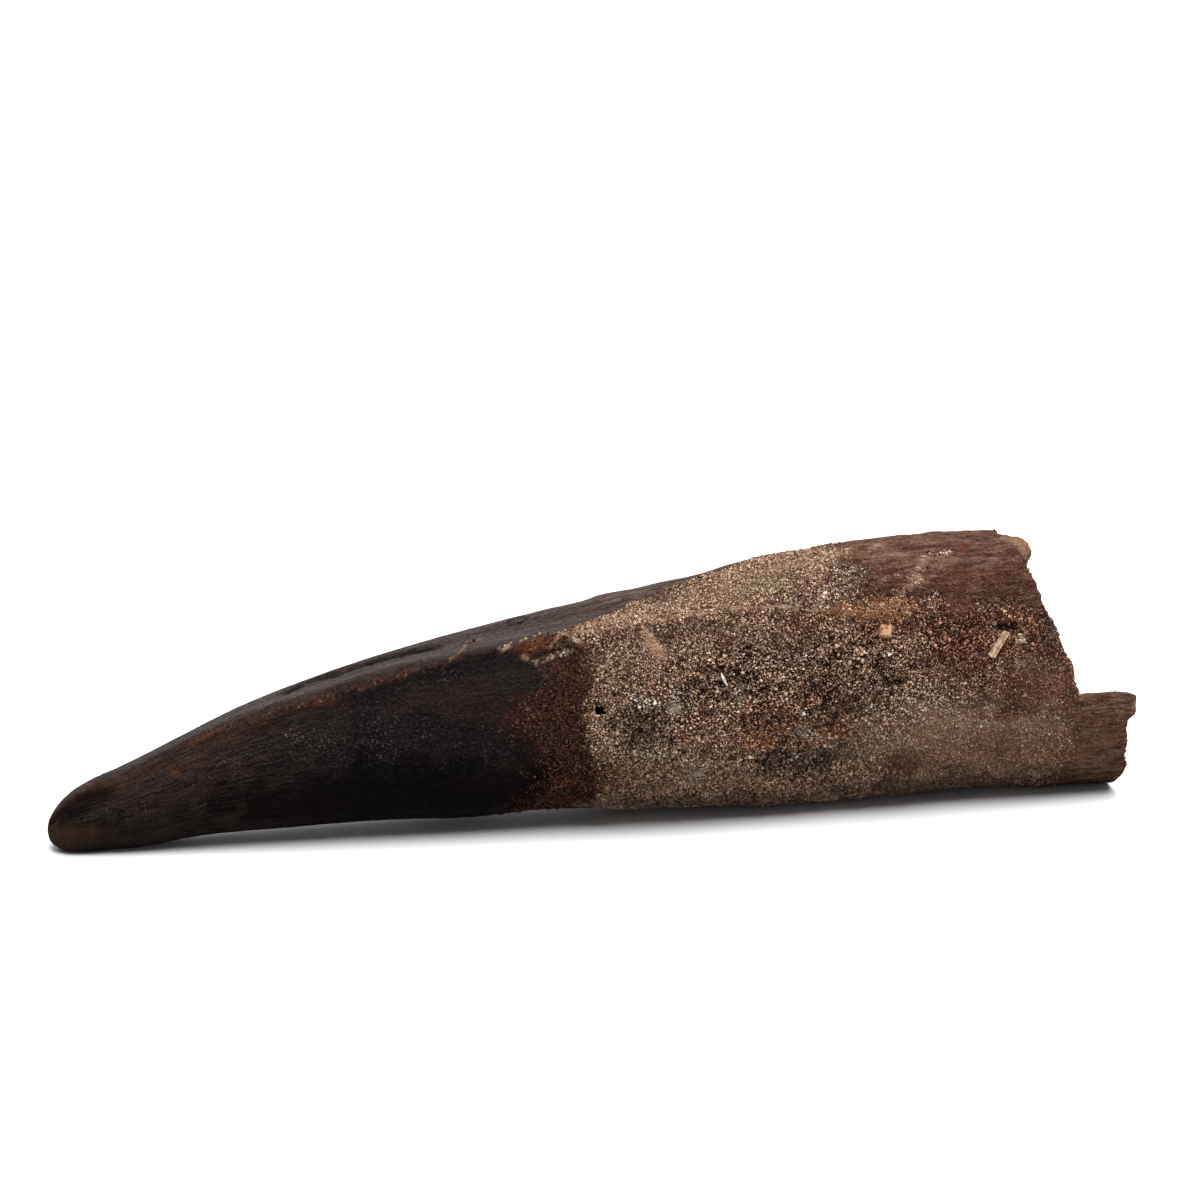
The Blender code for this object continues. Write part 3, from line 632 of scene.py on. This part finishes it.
def scatter(name, cover, shapes, look, seed):
    # Grains where cover is high, as one joined mesh that keeps the surface's attributes.
    grains = bpy.data.objects.new(name, tooth.data.copy())
    scene.collection.objects.link(grains)
    setPoints(grains, pointsOf(tooth) + normalsOf(tooth) * look["lift"])
    storeFloat(grains, "cover", cover)
    modifier = grains.modifiers.new("sand", "NODES")
    modifier.node_group = scatterTree(shapes, look, seed)
    applyModifier(grains, modifier)
    setPoints(grains, pointsOf(grains))
    grains.data.calc_loop_triangles()
    print("  ", name, len(grains.data.loop_triangles), "triangles")
    return grains


angular = grainShapes("angularGrain", sandLook["shapes"], False)
rounded = grainShapes("roundedGrain", pebbleLook["shapes"], True)
sandCover = crust * ramp(bare, 0.96, 0.3) * (1 - 0.35 * film) * (1 - 0.5 * cavity)
sandCover = np.maximum(sandCover * (1 - 0.95 * flake) * (1 - 0.6 * orangeLump), 0.9 * bandSand)
sandCover = np.maximum(sandCover, 0.55 * ember * ramp(fromTip, 51, 53))
sandCover *= (1 - 0.85 * gaps) * (1 - 0.9 * tanLine) * (1 - 0.9 * lensRim) * (1 - 0.9 * flakeRim)
sandCover *= 1 - 0.85 * ramp(pale, 0.35, 0.7)
outsideHole = 1 - np.clip(3 * pit, 0, 1)
sandCover = np.maximum(sandCover, 0.3 * isBreak * ramp(medium, -0.2, 0.4)) * outsideHole
grainPieces = []
facesFront = np.abs(turned(angle, frontFacing)) < sandLook["frontReach"]
behindLook = {**sandLook, "spacing": sandLook["behindSpacing"], "largest": sandLook["behindLargest"]}
for k, (name, (low, high, isFront)) in enumerate(sandLook["pieces"].items()):
    inPart = (fromTip >= low) & (fromTip < high) & (facesFront == isFront)
    look = sandLook if isFront else behindLook
    grainPieces.append(scatter(name, sandCover * inPart, angular, look, k))
pebbleCover = crust * (1 - bare) * (0.05 + 0.65 * pebbly) * (1 - film) * (1 - flake) * outsideHole
pebbleCover *= ramp(medium + fine, -0.4, 0.5) * (1 - ramp(pale, 0.2, 0.5)) * (1 - 0.7 * tan)
grainPieces.append(scatter("coarseGrains", pebbleCover, rounded, pebbleLook, pebbleLook["seed"]))
crumbSpots = spots(marks["crumbs"], 0.2 * fine)
crumbCover = np.maximum.reduce([0.8 * crumbLines, 0.12 * orangeLump, 0.7 * patchEdge, 0.3 * curl, crumbSpots])
grainPieces.append(scatter("crumbs", crumbCover, rounded, crumbLook, crumbLook["seed"]))


print("splinter, fibre and pebble")
splinterLook = {"at": 106.4, "facing": 66, "turn": -53, "length": 3.4 * mm, "width": 0.85 * mm,
                "thick": 0.34 * mm, "above": 0.22 * mm}
fibreLook = {"line": [(74.25, 62.8), (74.52, 66.3), (74.8, 69.8)], "thick": 0.15 * mm,
             "rises": (0.16 * mm, 0.28 * mm, 0.16 * mm), "ends": (0.55, 1.2, 0.8)}
pebbleStone = {"at": 93.3, "facing": 54.5, "turn": 12, "size": 0.86 * mm, "above": 0.20 * mm}
surfacePoints = pointsOf(tooth)
surfaceNormals = normalsOf(tooth)


def seatOn(at, facing):
    # The surface's point at a place, with its outward, lengthwise and downward directions.
    around = np.radians(turned(angle, facing)) * radius
    nearest = int(np.argmin((fromTip - at) ** 2 + around**2))
    outward = Vector(surfaceNormals[nearest]).normalized()
    lengthwise = (Vector((1, 0, 0)) - outward * outward.x).normalized()
    return Vector(surfacePoints[nearest]), outward, lengthwise, lengthwise.cross(outward)


def settle(obj, look):
    # Puts a piece modelled round the origin on the surface, its X along the turned direction.
    point, outward, lengthwise, down = seatOn(look["at"], look["facing"])
    swing = math.radians(look["turn"])
    first = lengthwise * math.cos(swing) + down * math.sin(swing)
    second = outward.cross(first)
    place = Matrix((first, second, outward)).transposed().to_4x4()
    place.translation = point + outward * look["above"]
    obj.data.transform(place)
    obj.data.update()


bpy.ops.mesh.primitive_cube_add(size=1)
splinter = bpy.context.active_object
splinter.name = "strawSplinter"
splinterSize = (splinterLook["length"], splinterLook["width"], splinterLook["thick"], 1)
splinter.data.transform(Matrix.Diagonal(splinterSize))
bpy.ops.object.mode_set(mode="EDIT")
bpy.ops.mesh.select_all(action="SELECT")
bpy.ops.mesh.subdivide(number_cuts=7)
bpy.ops.object.mode_set(mode="OBJECT")
for vert in splinter.data.vertices:
    co = vert.co.copy()
    ridge = math.cos(co.y / splinterLook["width"] * 9.0) * 0.05 * mm
    if co.z > 0.3 * splinterLook["thick"]:
        vert.co.z += ridge + 0.04 * mm * noise.noise(Vector((co.x / mm * 0.8, co.y / mm * 6, 1)))
    atEnd = abs(co.x) > 0.49 * splinterLook["length"]
    if atEnd:
        vert.co.x += 0.28 * mm * noise.noise(Vector((co.y / mm * 4, co.x / mm, 5)))
    vert.co.y *= 1 - 0.16 * (co.x / splinterLook["length"] + 0.5)
settle(splinter, splinterLook)

fibrePath = bpy.data.curves.new("fibrePath", "CURVE")
fibrePath.dimensions = "3D"
fibrePath.bevel_depth = fibreLook["thick"]
fibrePath.bevel_resolution = 2
fibrePath.use_fill_caps = True
spline = fibrePath.splines.new("BEZIER")
spline.bezier_points.add(len(fibreLook["line"]) - 1)
for k, (at, facing) in enumerate(fibreLook["line"]):
    point, outward, lengthwise, down = seatOn(at, facing)
    bezier = spline.bezier_points[k]
    bezier.co = point + outward * fibreLook["rises"][k]
    bezier.handle_left_type = bezier.handle_right_type = "AUTO"
    bezier.radius = fibreLook["ends"][k]
fibre = bpy.data.objects.new("whiteFibre", fibrePath)
scene.collection.objects.link(fibre)
makeActive(fibre)
bpy.ops.object.convert(target="MESH")
fibre = bpy.context.active_object

bpy.ops.mesh.primitive_ico_sphere_add(subdivisions=3, radius=pebbleStone["size"])
pebble = bpy.context.active_object
pebble.name = "tanPebble"
for vert in pebble.data.vertices:
    side = Vector((abs(vert.co.x), abs(vert.co.y), abs(vert.co.z)))
    square = 0.72 * pebbleStone["size"] / max(side)
    co = vert.co * min(square, 1.0)  # cut square, as a crystal fragment is
    push = 1.08 + 0.26 * noise.fractal(co / mm * 2.2, 0.9, 2.0, 3)
    vert.co = Vector((co.x * push, co.y * push * 1.05, co.z * push * 0.75))
pebble.data.shade_smooth()
settle(pebble, pebbleStone)
smallPieces = [splinter, fibre, pebble]


def newGroup(name, inputs, outputs):
    tree = bpy.data.node_groups.new(name, "ShaderNodeTree")
    kinds = {"color": "NodeSocketColor", "vector": "NodeSocketVector", "float": "NodeSocketFloat"}
    for label, kind, value in inputs:
        socket = tree.interface.new_socket(label, in_out="INPUT", socket_type=kinds[kind])
        if value is not None:
            socket.default_value = value
    for label, kind in outputs:
        tree.interface.new_socket(label, in_out="OUTPUT", socket_type=kinds[kind])
    return tree, tree.nodes.new("NodeGroupInput"), tree.nodes.new("NodeGroupOutput")


def noiseMask(tree, vector, scale, detail, low, high, roughness=0.6):
    pattern = addNode(tree, "ShaderNodeTexNoise", {"Vector": vector, "Scale": scale, "Detail": detail,
                                                   "Roughness": roughness})
    span = {"Value": pattern.outputs[0], "From Min": low, "From Max": high}
    level = addNode(tree, "ShaderNodeMapRange", span, interpolation_type="SMOOTHSTEP")
    return level.outputs[0]


def sums(tree, operation, a, b, clamp=True):
    return addNode(tree, "ShaderNodeMath", {0: a, 1: b}, operation=operation, use_clamp=clamp).outputs[0]


def times(tree, a, b, clamp=True):
    return sums(tree, "MULTIPLY", a, b, clamp)


def mixed(tree, factor, first, second, blend="MIX"):
    values = {0: factor, 6: first, 7: second}
    return addNode(tree, "ShaderNodeMix", values, data_type="RGBA", blend_type=blend).outputs[2]


def streakGroup():
    # Streaks along the tooth: noise stretched along its length.
    tree, given, result = newGroup(
        "lengthwiseStreaks",
        [("Vector", "vector", None), ("Scale", "float", 1000.0), ("Stretch", "float", 0.08),
         ("Low", "float", 0.4), ("High", "float", 0.6)],
        [("Mask", "float")])
    squeeze = addNode(tree, "ShaderNodeCombineXYZ", {0: given.outputs["Stretch"], 1: 1.0, 2: 1.0})
    scaled = addNode(tree, "ShaderNodeVectorMath", {0: given.outputs["Vector"], 1: squeeze.outputs[0]},
                     operation="MULTIPLY")
    mask = noiseMask(tree, scaled.outputs[0], given.outputs["Scale"], 5.0,
                     given.outputs["Low"], given.outputs["High"])
    tree.links.new(mask, result.inputs["Mask"])
    return tree


def mottleGroup():
    # Soft patches of one tone in another.
    tree, given, result = newGroup(
        "mottle",
        [("Vector", "vector", None), ("Scale", "float", 300.0), ("Detail", "float", 4.0),
         ("Low", "float", 0.4), ("High", "float", 0.6)],
        [("Mask", "float")])
    mask = noiseMask(tree, given.outputs["Vector"], given.outputs["Scale"], given.outputs["Detail"],
                     given.outputs["Low"], given.outputs["High"])
    tree.links.new(mask, result.inputs["Mask"])
    return tree


def raggedGroup():
    # Breaks a soft mask up, so its edge runs between the grains.
    tree, given, result = newGroup(
        "raggedEdge",
        [("Mask", "float", 0.0), ("Vector", "vector", None), ("Scale", "float", 1400.0),
         ("Amount", "float", 0.8)],
        [("Mask", "float")])
    place = {"Vector": given.outputs["Vector"], "Scale": given.outputs["Scale"]}
    pattern = addNode(tree, "ShaderNodeTexNoise", {**place, "Detail": 4.0, "Roughness": 0.65})
    centred = sums(tree, "SUBTRACT", pattern.outputs[0], 0.5, False)
    pushed = times(tree, centred, given.outputs["Amount"], False)
    fade = times(tree, pushed, times(tree, given.outputs["Mask"], 6.0), False)  # none where the mask is 0
    total = sums(tree, "ADD", given.outputs["Mask"], fade, False)
    level = addNode(tree, "ShaderNodeMapRange", {"Value": total, "From Min": 0.05, "From Max": 0.95})
    tree.links.new(level.outputs[0], result.inputs["Mask"])
    return tree


def gritGroup():
    # Packed sand: a tone for each grain, the dark gaps between and the height for a bump.
    tree, given, result = newGroup(
        "packedGrit",
        [("Vector", "vector", None), ("Scale", "float", 3000.0)],
        [("Tone", "float"), ("Gap", "float"), ("Height", "float")])
    place = {"Vector": given.outputs["Vector"], "Scale": given.outputs["Scale"]}
    cells = addNode(tree, "ShaderNodeTexVoronoi", place)
    away = cells.outputs["Distance"]
    tone = addNode(tree, "ShaderNodeSeparateColor", {"Color": cells.outputs["Color"]})
    gap = addNode(tree, "ShaderNodeMapRange", {"Value": away, "From Min": 0.38, "From Max": 0.65})
    lift = addNode(tree, "ShaderNodeMapRange", {"Value": away, "From Min": 0.0, "From Max": 0.8,
                                                "To Min": 1.0, "To Max": 0.0})
    tree.links.new(tone.outputs[0], result.inputs["Tone"])
    tree.links.new(gap.outputs[0], result.inputs["Gap"])
    tree.links.new(lift.outputs[0], result.inputs["Height"])
    return tree


def zoneGroup(ragged):
    # Tints sand by the stains it lies in. Every stain has a mask and a colour.
    stains = ["Tan", "Grey", "Red", "Dark", "Rust", "Pale"]
    inputs = [("Sand", "color", None), ("Vector", "vector", None)]
    for stain in stains:
        inputs.append((stain + " Mask", "float", 0.0))
        inputs.append((stain, "color", None))
    tree, given, result = newGroup("sandStains", inputs, [("Color", "color")])
    colour = given.outputs["Sand"]
    for stain in stains:
        broken = {"Mask": given.outputs[stain + " Mask"], "Vector": given.outputs["Vector"]}
        edge = addNode(tree, "ShaderNodeGroup", broken, node_tree=ragged)
        colour = mixed(tree, edge.outputs[0], colour, given.outputs[stain])
    tree.links.new(colour, result.inputs["Color"])
    return tree


print("materials")
streaks, mottle, ragged, grit = streakGroup(), mottleGroup(), raggedGroup(), gritGroup()
sandStains = zoneGroup(ragged)


def attribute(tree, name, output="Fac"):
    return addNode(tree, "ShaderNodeAttribute", attribute_name=name).outputs[output]


def placed(tree, group, values, output=0):
    return addNode(tree, "ShaderNodeGroup", values, node_tree=group).outputs[output]


def newMaterial(name):
    material = bpy.data.materials.new(name)
    material.use_nodes = True
    return material, material.node_tree, material.node_tree.nodes["Principled BSDF"]


sandColours = {
    "Sand": (0.500, 0.302, 0.194, 1),
    "Tan": (0.535, 0.358, 0.232, 1),
    "Grey": (0.560, 0.420, 0.312, 1),
    "Red": (0.290, 0.129, 0.079, 1),
    "Dark": (0.190, 0.120, 0.087, 1),
    "Rust": (0.550, 0.268, 0.138, 1),
    "Pale": (0.740, 0.600, 0.450, 1),
}


def stainedSand(tree, place, sand=None):
    values = {"Vector": place}
    for stain, colour in sandColours.items():
        values[stain] = colour
        if stain != "Sand":
            values[stain + " Mask"] = attribute(tree, stain.lower())
        elif sand:
            values[stain] = sand
    return placed(tree, sandStains, values)


fossilLook = {
    "enamelBlack": (0.0030, 0.0023, 0.0029, 1),
    "enamelBrown": (0.016, 0.0080, 0.0075, 1),
    "hairline": (0.044, 0.033, 0.031, 1),
    "faded": (0.190, 0.108, 0.071, 1),
    # painted sheen on the upper facet, and also the colour of the violet flecks
    "violetFleckAndSheen": (0.057, 0.032, 0.025, 1),
    "ruddy": (0.050, 0.017, 0.011, 1),
    "ember": (0.170, 0.052, 0.022, 1),
    "dust": (0.260, 0.230, 0.215, 1),
    "redBrown": (0.030, 0.009, 0.006, 1),
    "bandTan": (0.270, 0.150, 0.090, 1),
    "worn": (0.052, 0.022, 0.013, 1),
    "matrix": (0.028, 0.012, 0.006, 1),
    "flake": (0.360, 0.220, 0.140, 1),
    "clay": (0.390, 0.190, 0.100, 1),
    "clayShade": (0.150, 0.066, 0.038, 1),
    "ridgeRust": (0.090, 0.036, 0.023, 1),
    "ridgeCrumb": (0.380, 0.260, 0.190, 1),
    "redDentine": (0.085, 0.026, 0.015, 1),
    "dentine": (0.116, 0.045, 0.028, 1),
    "dentineDark": (0.030, 0.010, 0.006, 1),
    "dentineGrey": (0.340, 0.210, 0.147, 1),
    "film": (0.470, 0.288, 0.199, 1),
    "filmDark": (0.140, 0.074, 0.048, 1),
    # painted shade: the black that fills the pit
    "black": (0.002, 0.0015, 0.0015, 1),
}
# Fine patterns of the surface: streaks (scale, stretch, low, high) and mottles (scale, detail, low, high).
streakPatterns = {
    "fineStreak": (3800.0, 0.08, 0.44, 0.60),
    "broadStreak": (1300.0, 0.10, 0.42, 0.60),
}
mottlePatterns = {
    "bigMottle": (140.0, 4.0, 0.42, 0.62),
    "smallMottle": (900.0, 4.0, 0.42, 0.62),
    "leather": (2600.0, 2.0, 0.40, 0.64),
    "specks": (3400.0, 3.0, 0.58, 0.68),
    "flecks": (4600.0, 2.0, 0.50, 0.68),
}
# Masks whose edges are broken up: (scale, amount).
brokenEdges = {
    "crust": (2200.0, 1.0), "bare": (1500.0, 1.2), "ruddy": (900.0, 1.6), "worn": (900.0, 1.2),
    "redBand": (800.0, 1.8), "ember": (1500.0, 1.4), "clay": (1400.0, 0.8),
}
gritScale = 4000.0
# Layers from the lowest up: where (the product of these masks), how strongly, and the tint.
# The crown is black enamel with brown and violet streaks, ruddy stains and pale mineral specks. Its upper
# facet is painted lighter as a painted sheen, and its grooves and underside are painted darker as painted
# shade.
crownLayers = [
    ("bigMottle", 0.7, "enamelBrown"), ("facet", 0.7, "violetFleckAndSheen"), ("ruddy", 0.52, "ruddy"),
    ("broadStreak", 0.32, "enamelBlack"), ("leather", 0.68, "enamelBlack"), ("flecks", 0.38, "violetFleckAndSheen"),
    ("fineStreak leather", 0.34, "hairline"), ("faded fineStreak", 0.62, "faded"), ("worn", 0.8, "worn"),
    ("redBand", 0.9, "redBrown"), ("bandSand leather", 0.3, "bandTan"), ("paleRim", 0.8, "Sand"),
    # painted shade: enamel black mixed into the grooves and onto the crown's underside
    ("ember", 0.75, "ember"), ("dusty", 1.0, "dust"), ("grooves", 0.8, "enamelBlack"),
    ("ridge smallMottle", 0.65, "ridgeRust"), ("ridge specks", 0.5, "ridgeCrumb"),
]
# The smooth film low on the root, and the bed that the grains lie in, dark in its gaps.
filmLayers = [("broadStreak", 0.5, "filmDark"), ("", 0.5, "sandTone"), ("gap", 0.6, "matrix")]
bedLayers = [
    ("grainTone", 0.4, "sandTone"), ("gap", 1.0, "matrix"), ("film", 1.0, "filmSand"),
    ("smooth", 1.0, "sandTone"), ("flake", 1.0, "smoothSand"), ("clay", 1.0, "clayLumps"),
]
dentineLayers = [
    ("broadStreak", 0.6, "dentineDark"), ("fineStreak", 0.58, "dentineGrey"),
    ("leather", 0.45, "dentineDark"), ("red", 0.45, "redDentine"), ("flecks", 0.48, "dentineGrey"),
    ("smallMottle", 0.35, "dentineDark"), ("flake", 0.75, "Sand"), ("tan smallMottle", 0.7, "Sand"),
    ("dark", 0.6, "dentineDark"), ("pale", 0.6, "Sand"), ("rust", 0.6, "ember"),
]


def layered(tree, colour, layers, on, tints):
    for names, strength, tint in layers:
        where = strength
        for name in names.split():
            where = times(tree, on[name], where)
        colour = mixed(tree, where, colour, tints[tint])
    return colour


def surfaceMasks(tree, place):
    # Every mask and pattern that the layers name.
    on = {name: attribute(tree, name) for name in masks}
    for name, (scale, amount) in brokenEdges.items():
        on[name] = placed(tree, ragged, {"Mask": on[name], "Vector": place, "Scale": scale, "Amount": amount})
    flowPlace = attribute(tree, "flow", "Vector")
    for name, (scale, stretch, low, high) in streakPatterns.items():
        on[name] = placed(tree, streaks, {"Vector": flowPlace, "Scale": scale, "Stretch": stretch,
                                          "Low": low, "High": high})
    for name, (scale, detail, low, high) in mottlePatterns.items():
        on[name] = placed(tree, mottle, {"Vector": place, "Scale": scale, "Detail": detail,
                                         "Low": low, "High": high})
    for name, output in (("grainTone", "Tone"), ("gap", "Gap"), ("grainHeight", "Height")):
        on[name] = placed(tree, grit, {"Vector": place, "Scale": gritScale}, output)
    on["paleRim"] = sums(tree, "MAXIMUM", on["flake"], on["pale"])
    on["smooth"] = sums(tree, "SUBTRACT", on["pale"], 0.4)
    dustSpecks = times(tree, times(tree, on["dust"], on["specks"]), 0.45)
    on["dusty"] = sums(tree, "ADD", dustSpecks, times(tree, on["specks"], 0.04))
    return on


def fossilMaterial(look):
    material, tree, shader = newMaterial("fossilSurface")
    place = addNode(tree, "ShaderNodeTexCoord").outputs["Object"]
    on = surfaceMasks(tree, place)
    tints = {**look, **sandColours, "sandTone": stainedSand(tree, place)}
    tints["filmSand"] = layered(tree, look["film"], filmLayers, on, tints)
    tints["smoothSand"] = mixed(tree, on["pale"], look["flake"], sandColours["Tan"])
    tints["clayLumps"] = mixed(tree, times(tree, on["leather"], 0.75), look["clay"], look["clayShade"])
    crown = layered(tree, look["enamelBlack"], crownLayers, on, tints)
    bed = layered(tree, look["matrix"], bedLayers, on, tints)
    dentine = layered(tree, look["dentine"], dentineLayers, on, tints)
    colour = mixed(tree, on["crust"], crown, bed)
    colour = mixed(tree, on["bare"], colour, dentine)
    colour = mixed(tree, on["hole"], colour, look["black"])
    tree.links.new(colour, shader.inputs["Base Color"])

    # The enamel has a dull sheen, and sand and dentine have next to none.
    matte = sums(tree, "MAXIMUM", on["crust"], on["bare"])
    dull = sums(tree, "ADD", 0.46, times(tree, on["broadStreak"], 0.14))
    roughness = addNode(tree, "ShaderNodeMix", {0: matte, 2: dull, 3: 0.88}, data_type="FLOAT").outputs[0]
    roughness = sums(tree, "ADD", roughness, times(tree, on["leather"], 0.12))
    tree.links.new(roughness, shader.inputs["Roughness"])
    gloss = addNode(tree, "ShaderNodeMix", {0: matte, 2: 0.075, 3: 0.05}, data_type="FLOAT").outputs[0]
    gloss = times(tree, gloss, sums(tree, "SUBTRACT", 1.0, times(tree, on["grooves"], 0.9)))
    tree.links.new(gloss, shader.inputs["Specular IOR Level"])

    crownLift = times(tree, on["fineStreak"], 0.18)
    crownLift = sums(tree, "ADD", crownLift, times(tree, on["leather"], 0.75), False)
    crownLift = times(tree, crownLift, sums(tree, "SUBTRACT", 1.0, on["crust"]), False)
    crustLift = times(tree, times(tree, on["grainHeight"], on["crust"]), 2.2, False)
    bump = addNode(tree, "ShaderNodeBump", {"Strength": 0.9, "Distance": 0.00013,
                                            "Height": sums(tree, "ADD", crownLift, crustLift, False)})
    tree.links.new(bump.outputs[0], shader.inputs["Normal"])
    return material


grainLook = {
    "darkestAt": 0.24,
    "middleAt": 0.55,
    "darkest": (0.045, 0.022, 0.011, 1),
    "middle": (0.81, 0.75, 0.72, 1),
    "lightest": (2.38, 2.88, 3.25, 1),
    "evenTone": (0.84, 0.82, 0.82, 1),
    "bare": (0.110, 0.047, 0.030, 1),
    "band": (0.100, 0.040, 0.027, 1),
    "lens": (0.100, 0.056, 0.036, 1),
    "ember": (0.300, 0.115, 0.055, 1),
    "clay": (0.420, 0.220, 0.125, 1),
}


def sandMaterial(look):
    material, tree, shader = newMaterial("looseSand")
    place = addNode(tree, "ShaderNodeTexCoord").outputs["Object"]
    tones = addNode(tree, "ShaderNodeValToRGB", {"Fac": attribute(tree, "tone")})
    stops = tones.color_ramp.elements
    stops[0].position, stops[0].color = look["darkestAt"], look["darkest"]
    stops[1].position, stops[1].color = 1.0, look["lightest"]
    stops.new(look["middleAt"]).color = look["middle"]
    sand = mixed(tree, times(tree, attribute(tree, "bare"), 0.8), sandColours["Sand"], look["bare"])
    sand = mixed(tree, sums(tree, "SUBTRACT", 1.0, attribute(tree, "crust")), sand, look["band"])
    sand = mixed(tree, times(tree, attribute(tree, "brownLens"), 0.9), sand, look["lens"])
    sand = mixed(tree, times(tree, attribute(tree, "ember"), 0.7), sand, look["ember"])
    colour = stainedSand(tree, place, sand)
    colour = mixed(tree, times(tree, attribute(tree, "clay"), 0.8), colour, look["clay"])
    shade = mixed(tree, attribute(tree, "even"), tones.outputs[0], look["evenTone"])
    colour = mixed(tree, 1.0, colour, shade, "MULTIPLY")
    tree.links.new(colour, shader.inputs["Base Color"])
    shader.inputs["Roughness"].default_value = 0.75
    shader.inputs["Specular IOR Level"].default_value = 0.08
    return material


tooth.data.materials.clear()
tooth.data.materials.append(fossilMaterial(fossilLook))
loose = sandMaterial(grainLook)
for piece in grainPieces:
    piece.data.materials.clear()
    piece.data.materials.append(loose)


smallLooks = {
    "straw": ((0.680, 0.510, 0.340, 1), (0.350, 0.225, 0.130, 1), 0.55),
    "whiteFibre": ((0.820, 0.760, 0.680, 1), (0.600, 0.500, 0.420, 1), 0.45),
    "tanStone": ((0.620, 0.350, 0.190, 1), (0.250, 0.115, 0.060, 1), 0.70),
}


def smallMaterial(name, light, shade, roughness):
    material, tree, shader = newMaterial(name)
    place = addNode(tree, "ShaderNodeTexCoord").outputs["Object"]
    cloudy = placed(tree, mottle, {"Vector": place, "Scale": 1800.0, "Low": 0.40, "High": 0.62})
    tree.links.new(mixed(tree, cloudy, light, shade), shader.inputs["Base Color"])
    shader.inputs["Roughness"].default_value = roughness
    shader.inputs["Specular IOR Level"].default_value = 0.3
    bump = addNode(tree, "ShaderNodeBump", {"Strength": 0.5, "Distance": 0.00004, "Height": cloudy})
    tree.links.new(bump.outputs[0], shader.inputs["Normal"])
    return material


for piece, (name, look) in zip(smallPieces, smallLooks.items()):
    piece.data.materials.clear()
    piece.data.materials.append(smallMaterial(name, *look))


print("riding")
for piece in [tooth] + grainPieces + smallPieces:
    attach(piece, "root")
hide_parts("tooth")
for shapes in (angular, rounded):
    for grain in list(shapes.objects):
        bpy.data.objects.remove(grain)
    bpy.data.collections.remove(shapes)


print("stage")
floorLook = {"seen": (0.97, 0.97, 0.97, 1), "bounce": (0.42, 0.42, 0.42, 1)}
bpy.ops.mesh.primitive_plane_add(size=12)
floor = bpy.context.active_object
floor.name = "floor"
paper, paperTree, paperShader = newMaterial("whitePaper")
seen = addNode(paperTree, "ShaderNodeLightPath").outputs["Is Camera Ray"]
paperTone = mixed(paperTree, seen, floorLook["bounce"], floorLook["seen"])
paperTree.links.new(paperTone, paperShader.inputs["Base Color"])
paperShader.inputs["Roughness"].default_value = 0.95
paperShader.inputs["Specular IOR Level"].default_value = 0.0
floor.data.materials.append(paper)

lightLook = {"sunFrom": (0.10, -0.24, 1.0), "sunPower": 4.25, "sunSpread": 50, "room": 0.21,
             "cardAt": (0.05, 0.85, 0.38), "cardSize": (1.3, 0.5), "cardPower": 5.5}
bpy.ops.object.light_add(type="SUN", location=(0, 0.2, 0.6))
sun = bpy.context.active_object
sun.name = "overheadLight"
sun.data.energy = lightLook["sunPower"]
sun.data.angle = math.radians(lightLook["sunSpread"])
sun.rotation_euler = (-Vector(lightLook["sunFrom"])).to_track_quat("-Z", "Y").to_euler()
bpy.ops.object.light_add(type="AREA", location=lightLook["cardAt"])
card = bpy.context.active_object
card.name = "backCard"
card.data.shape = "RECTANGLE"
card.data.size, card.data.size_y = lightLook["cardSize"]
card.data.energy = lightLook["cardPower"]
card.rotation_euler = (-Vector(lightLook["cardAt"])).to_track_quat("-Z", "Y").to_euler()
world = bpy.data.worlds.new("softRoom")
world.use_nodes = True
world.node_tree.nodes["Background"].inputs["Color"].default_value = (1, 1, 1, 1)
world.node_tree.nodes["Background"].inputs["Strength"].default_value = lightLook["room"]
scene.world = world

view = {"azimuth": -12.6, "elevation": 17.0, "distance": 303 * mm, "lens": 80.0,
        "target": (1.2 * mm, 0.0, 25.0 * mm)}
turn, rise = math.radians(view["azimuth"]), math.radians(view["elevation"])
back = Vector((math.sin(turn) * math.cos(rise), -math.cos(turn) * math.cos(rise), math.sin(rise)))
bpy.ops.object.camera_add(location=Vector(view["target"]) + back * view["distance"])
camera = bpy.context.active_object
camera.rotation_euler = (-back).to_track_quat("-Z", "Y").to_euler()
camera.data.lens = view["lens"]
camera.data.clip_start = 0.01
scene.camera = camera
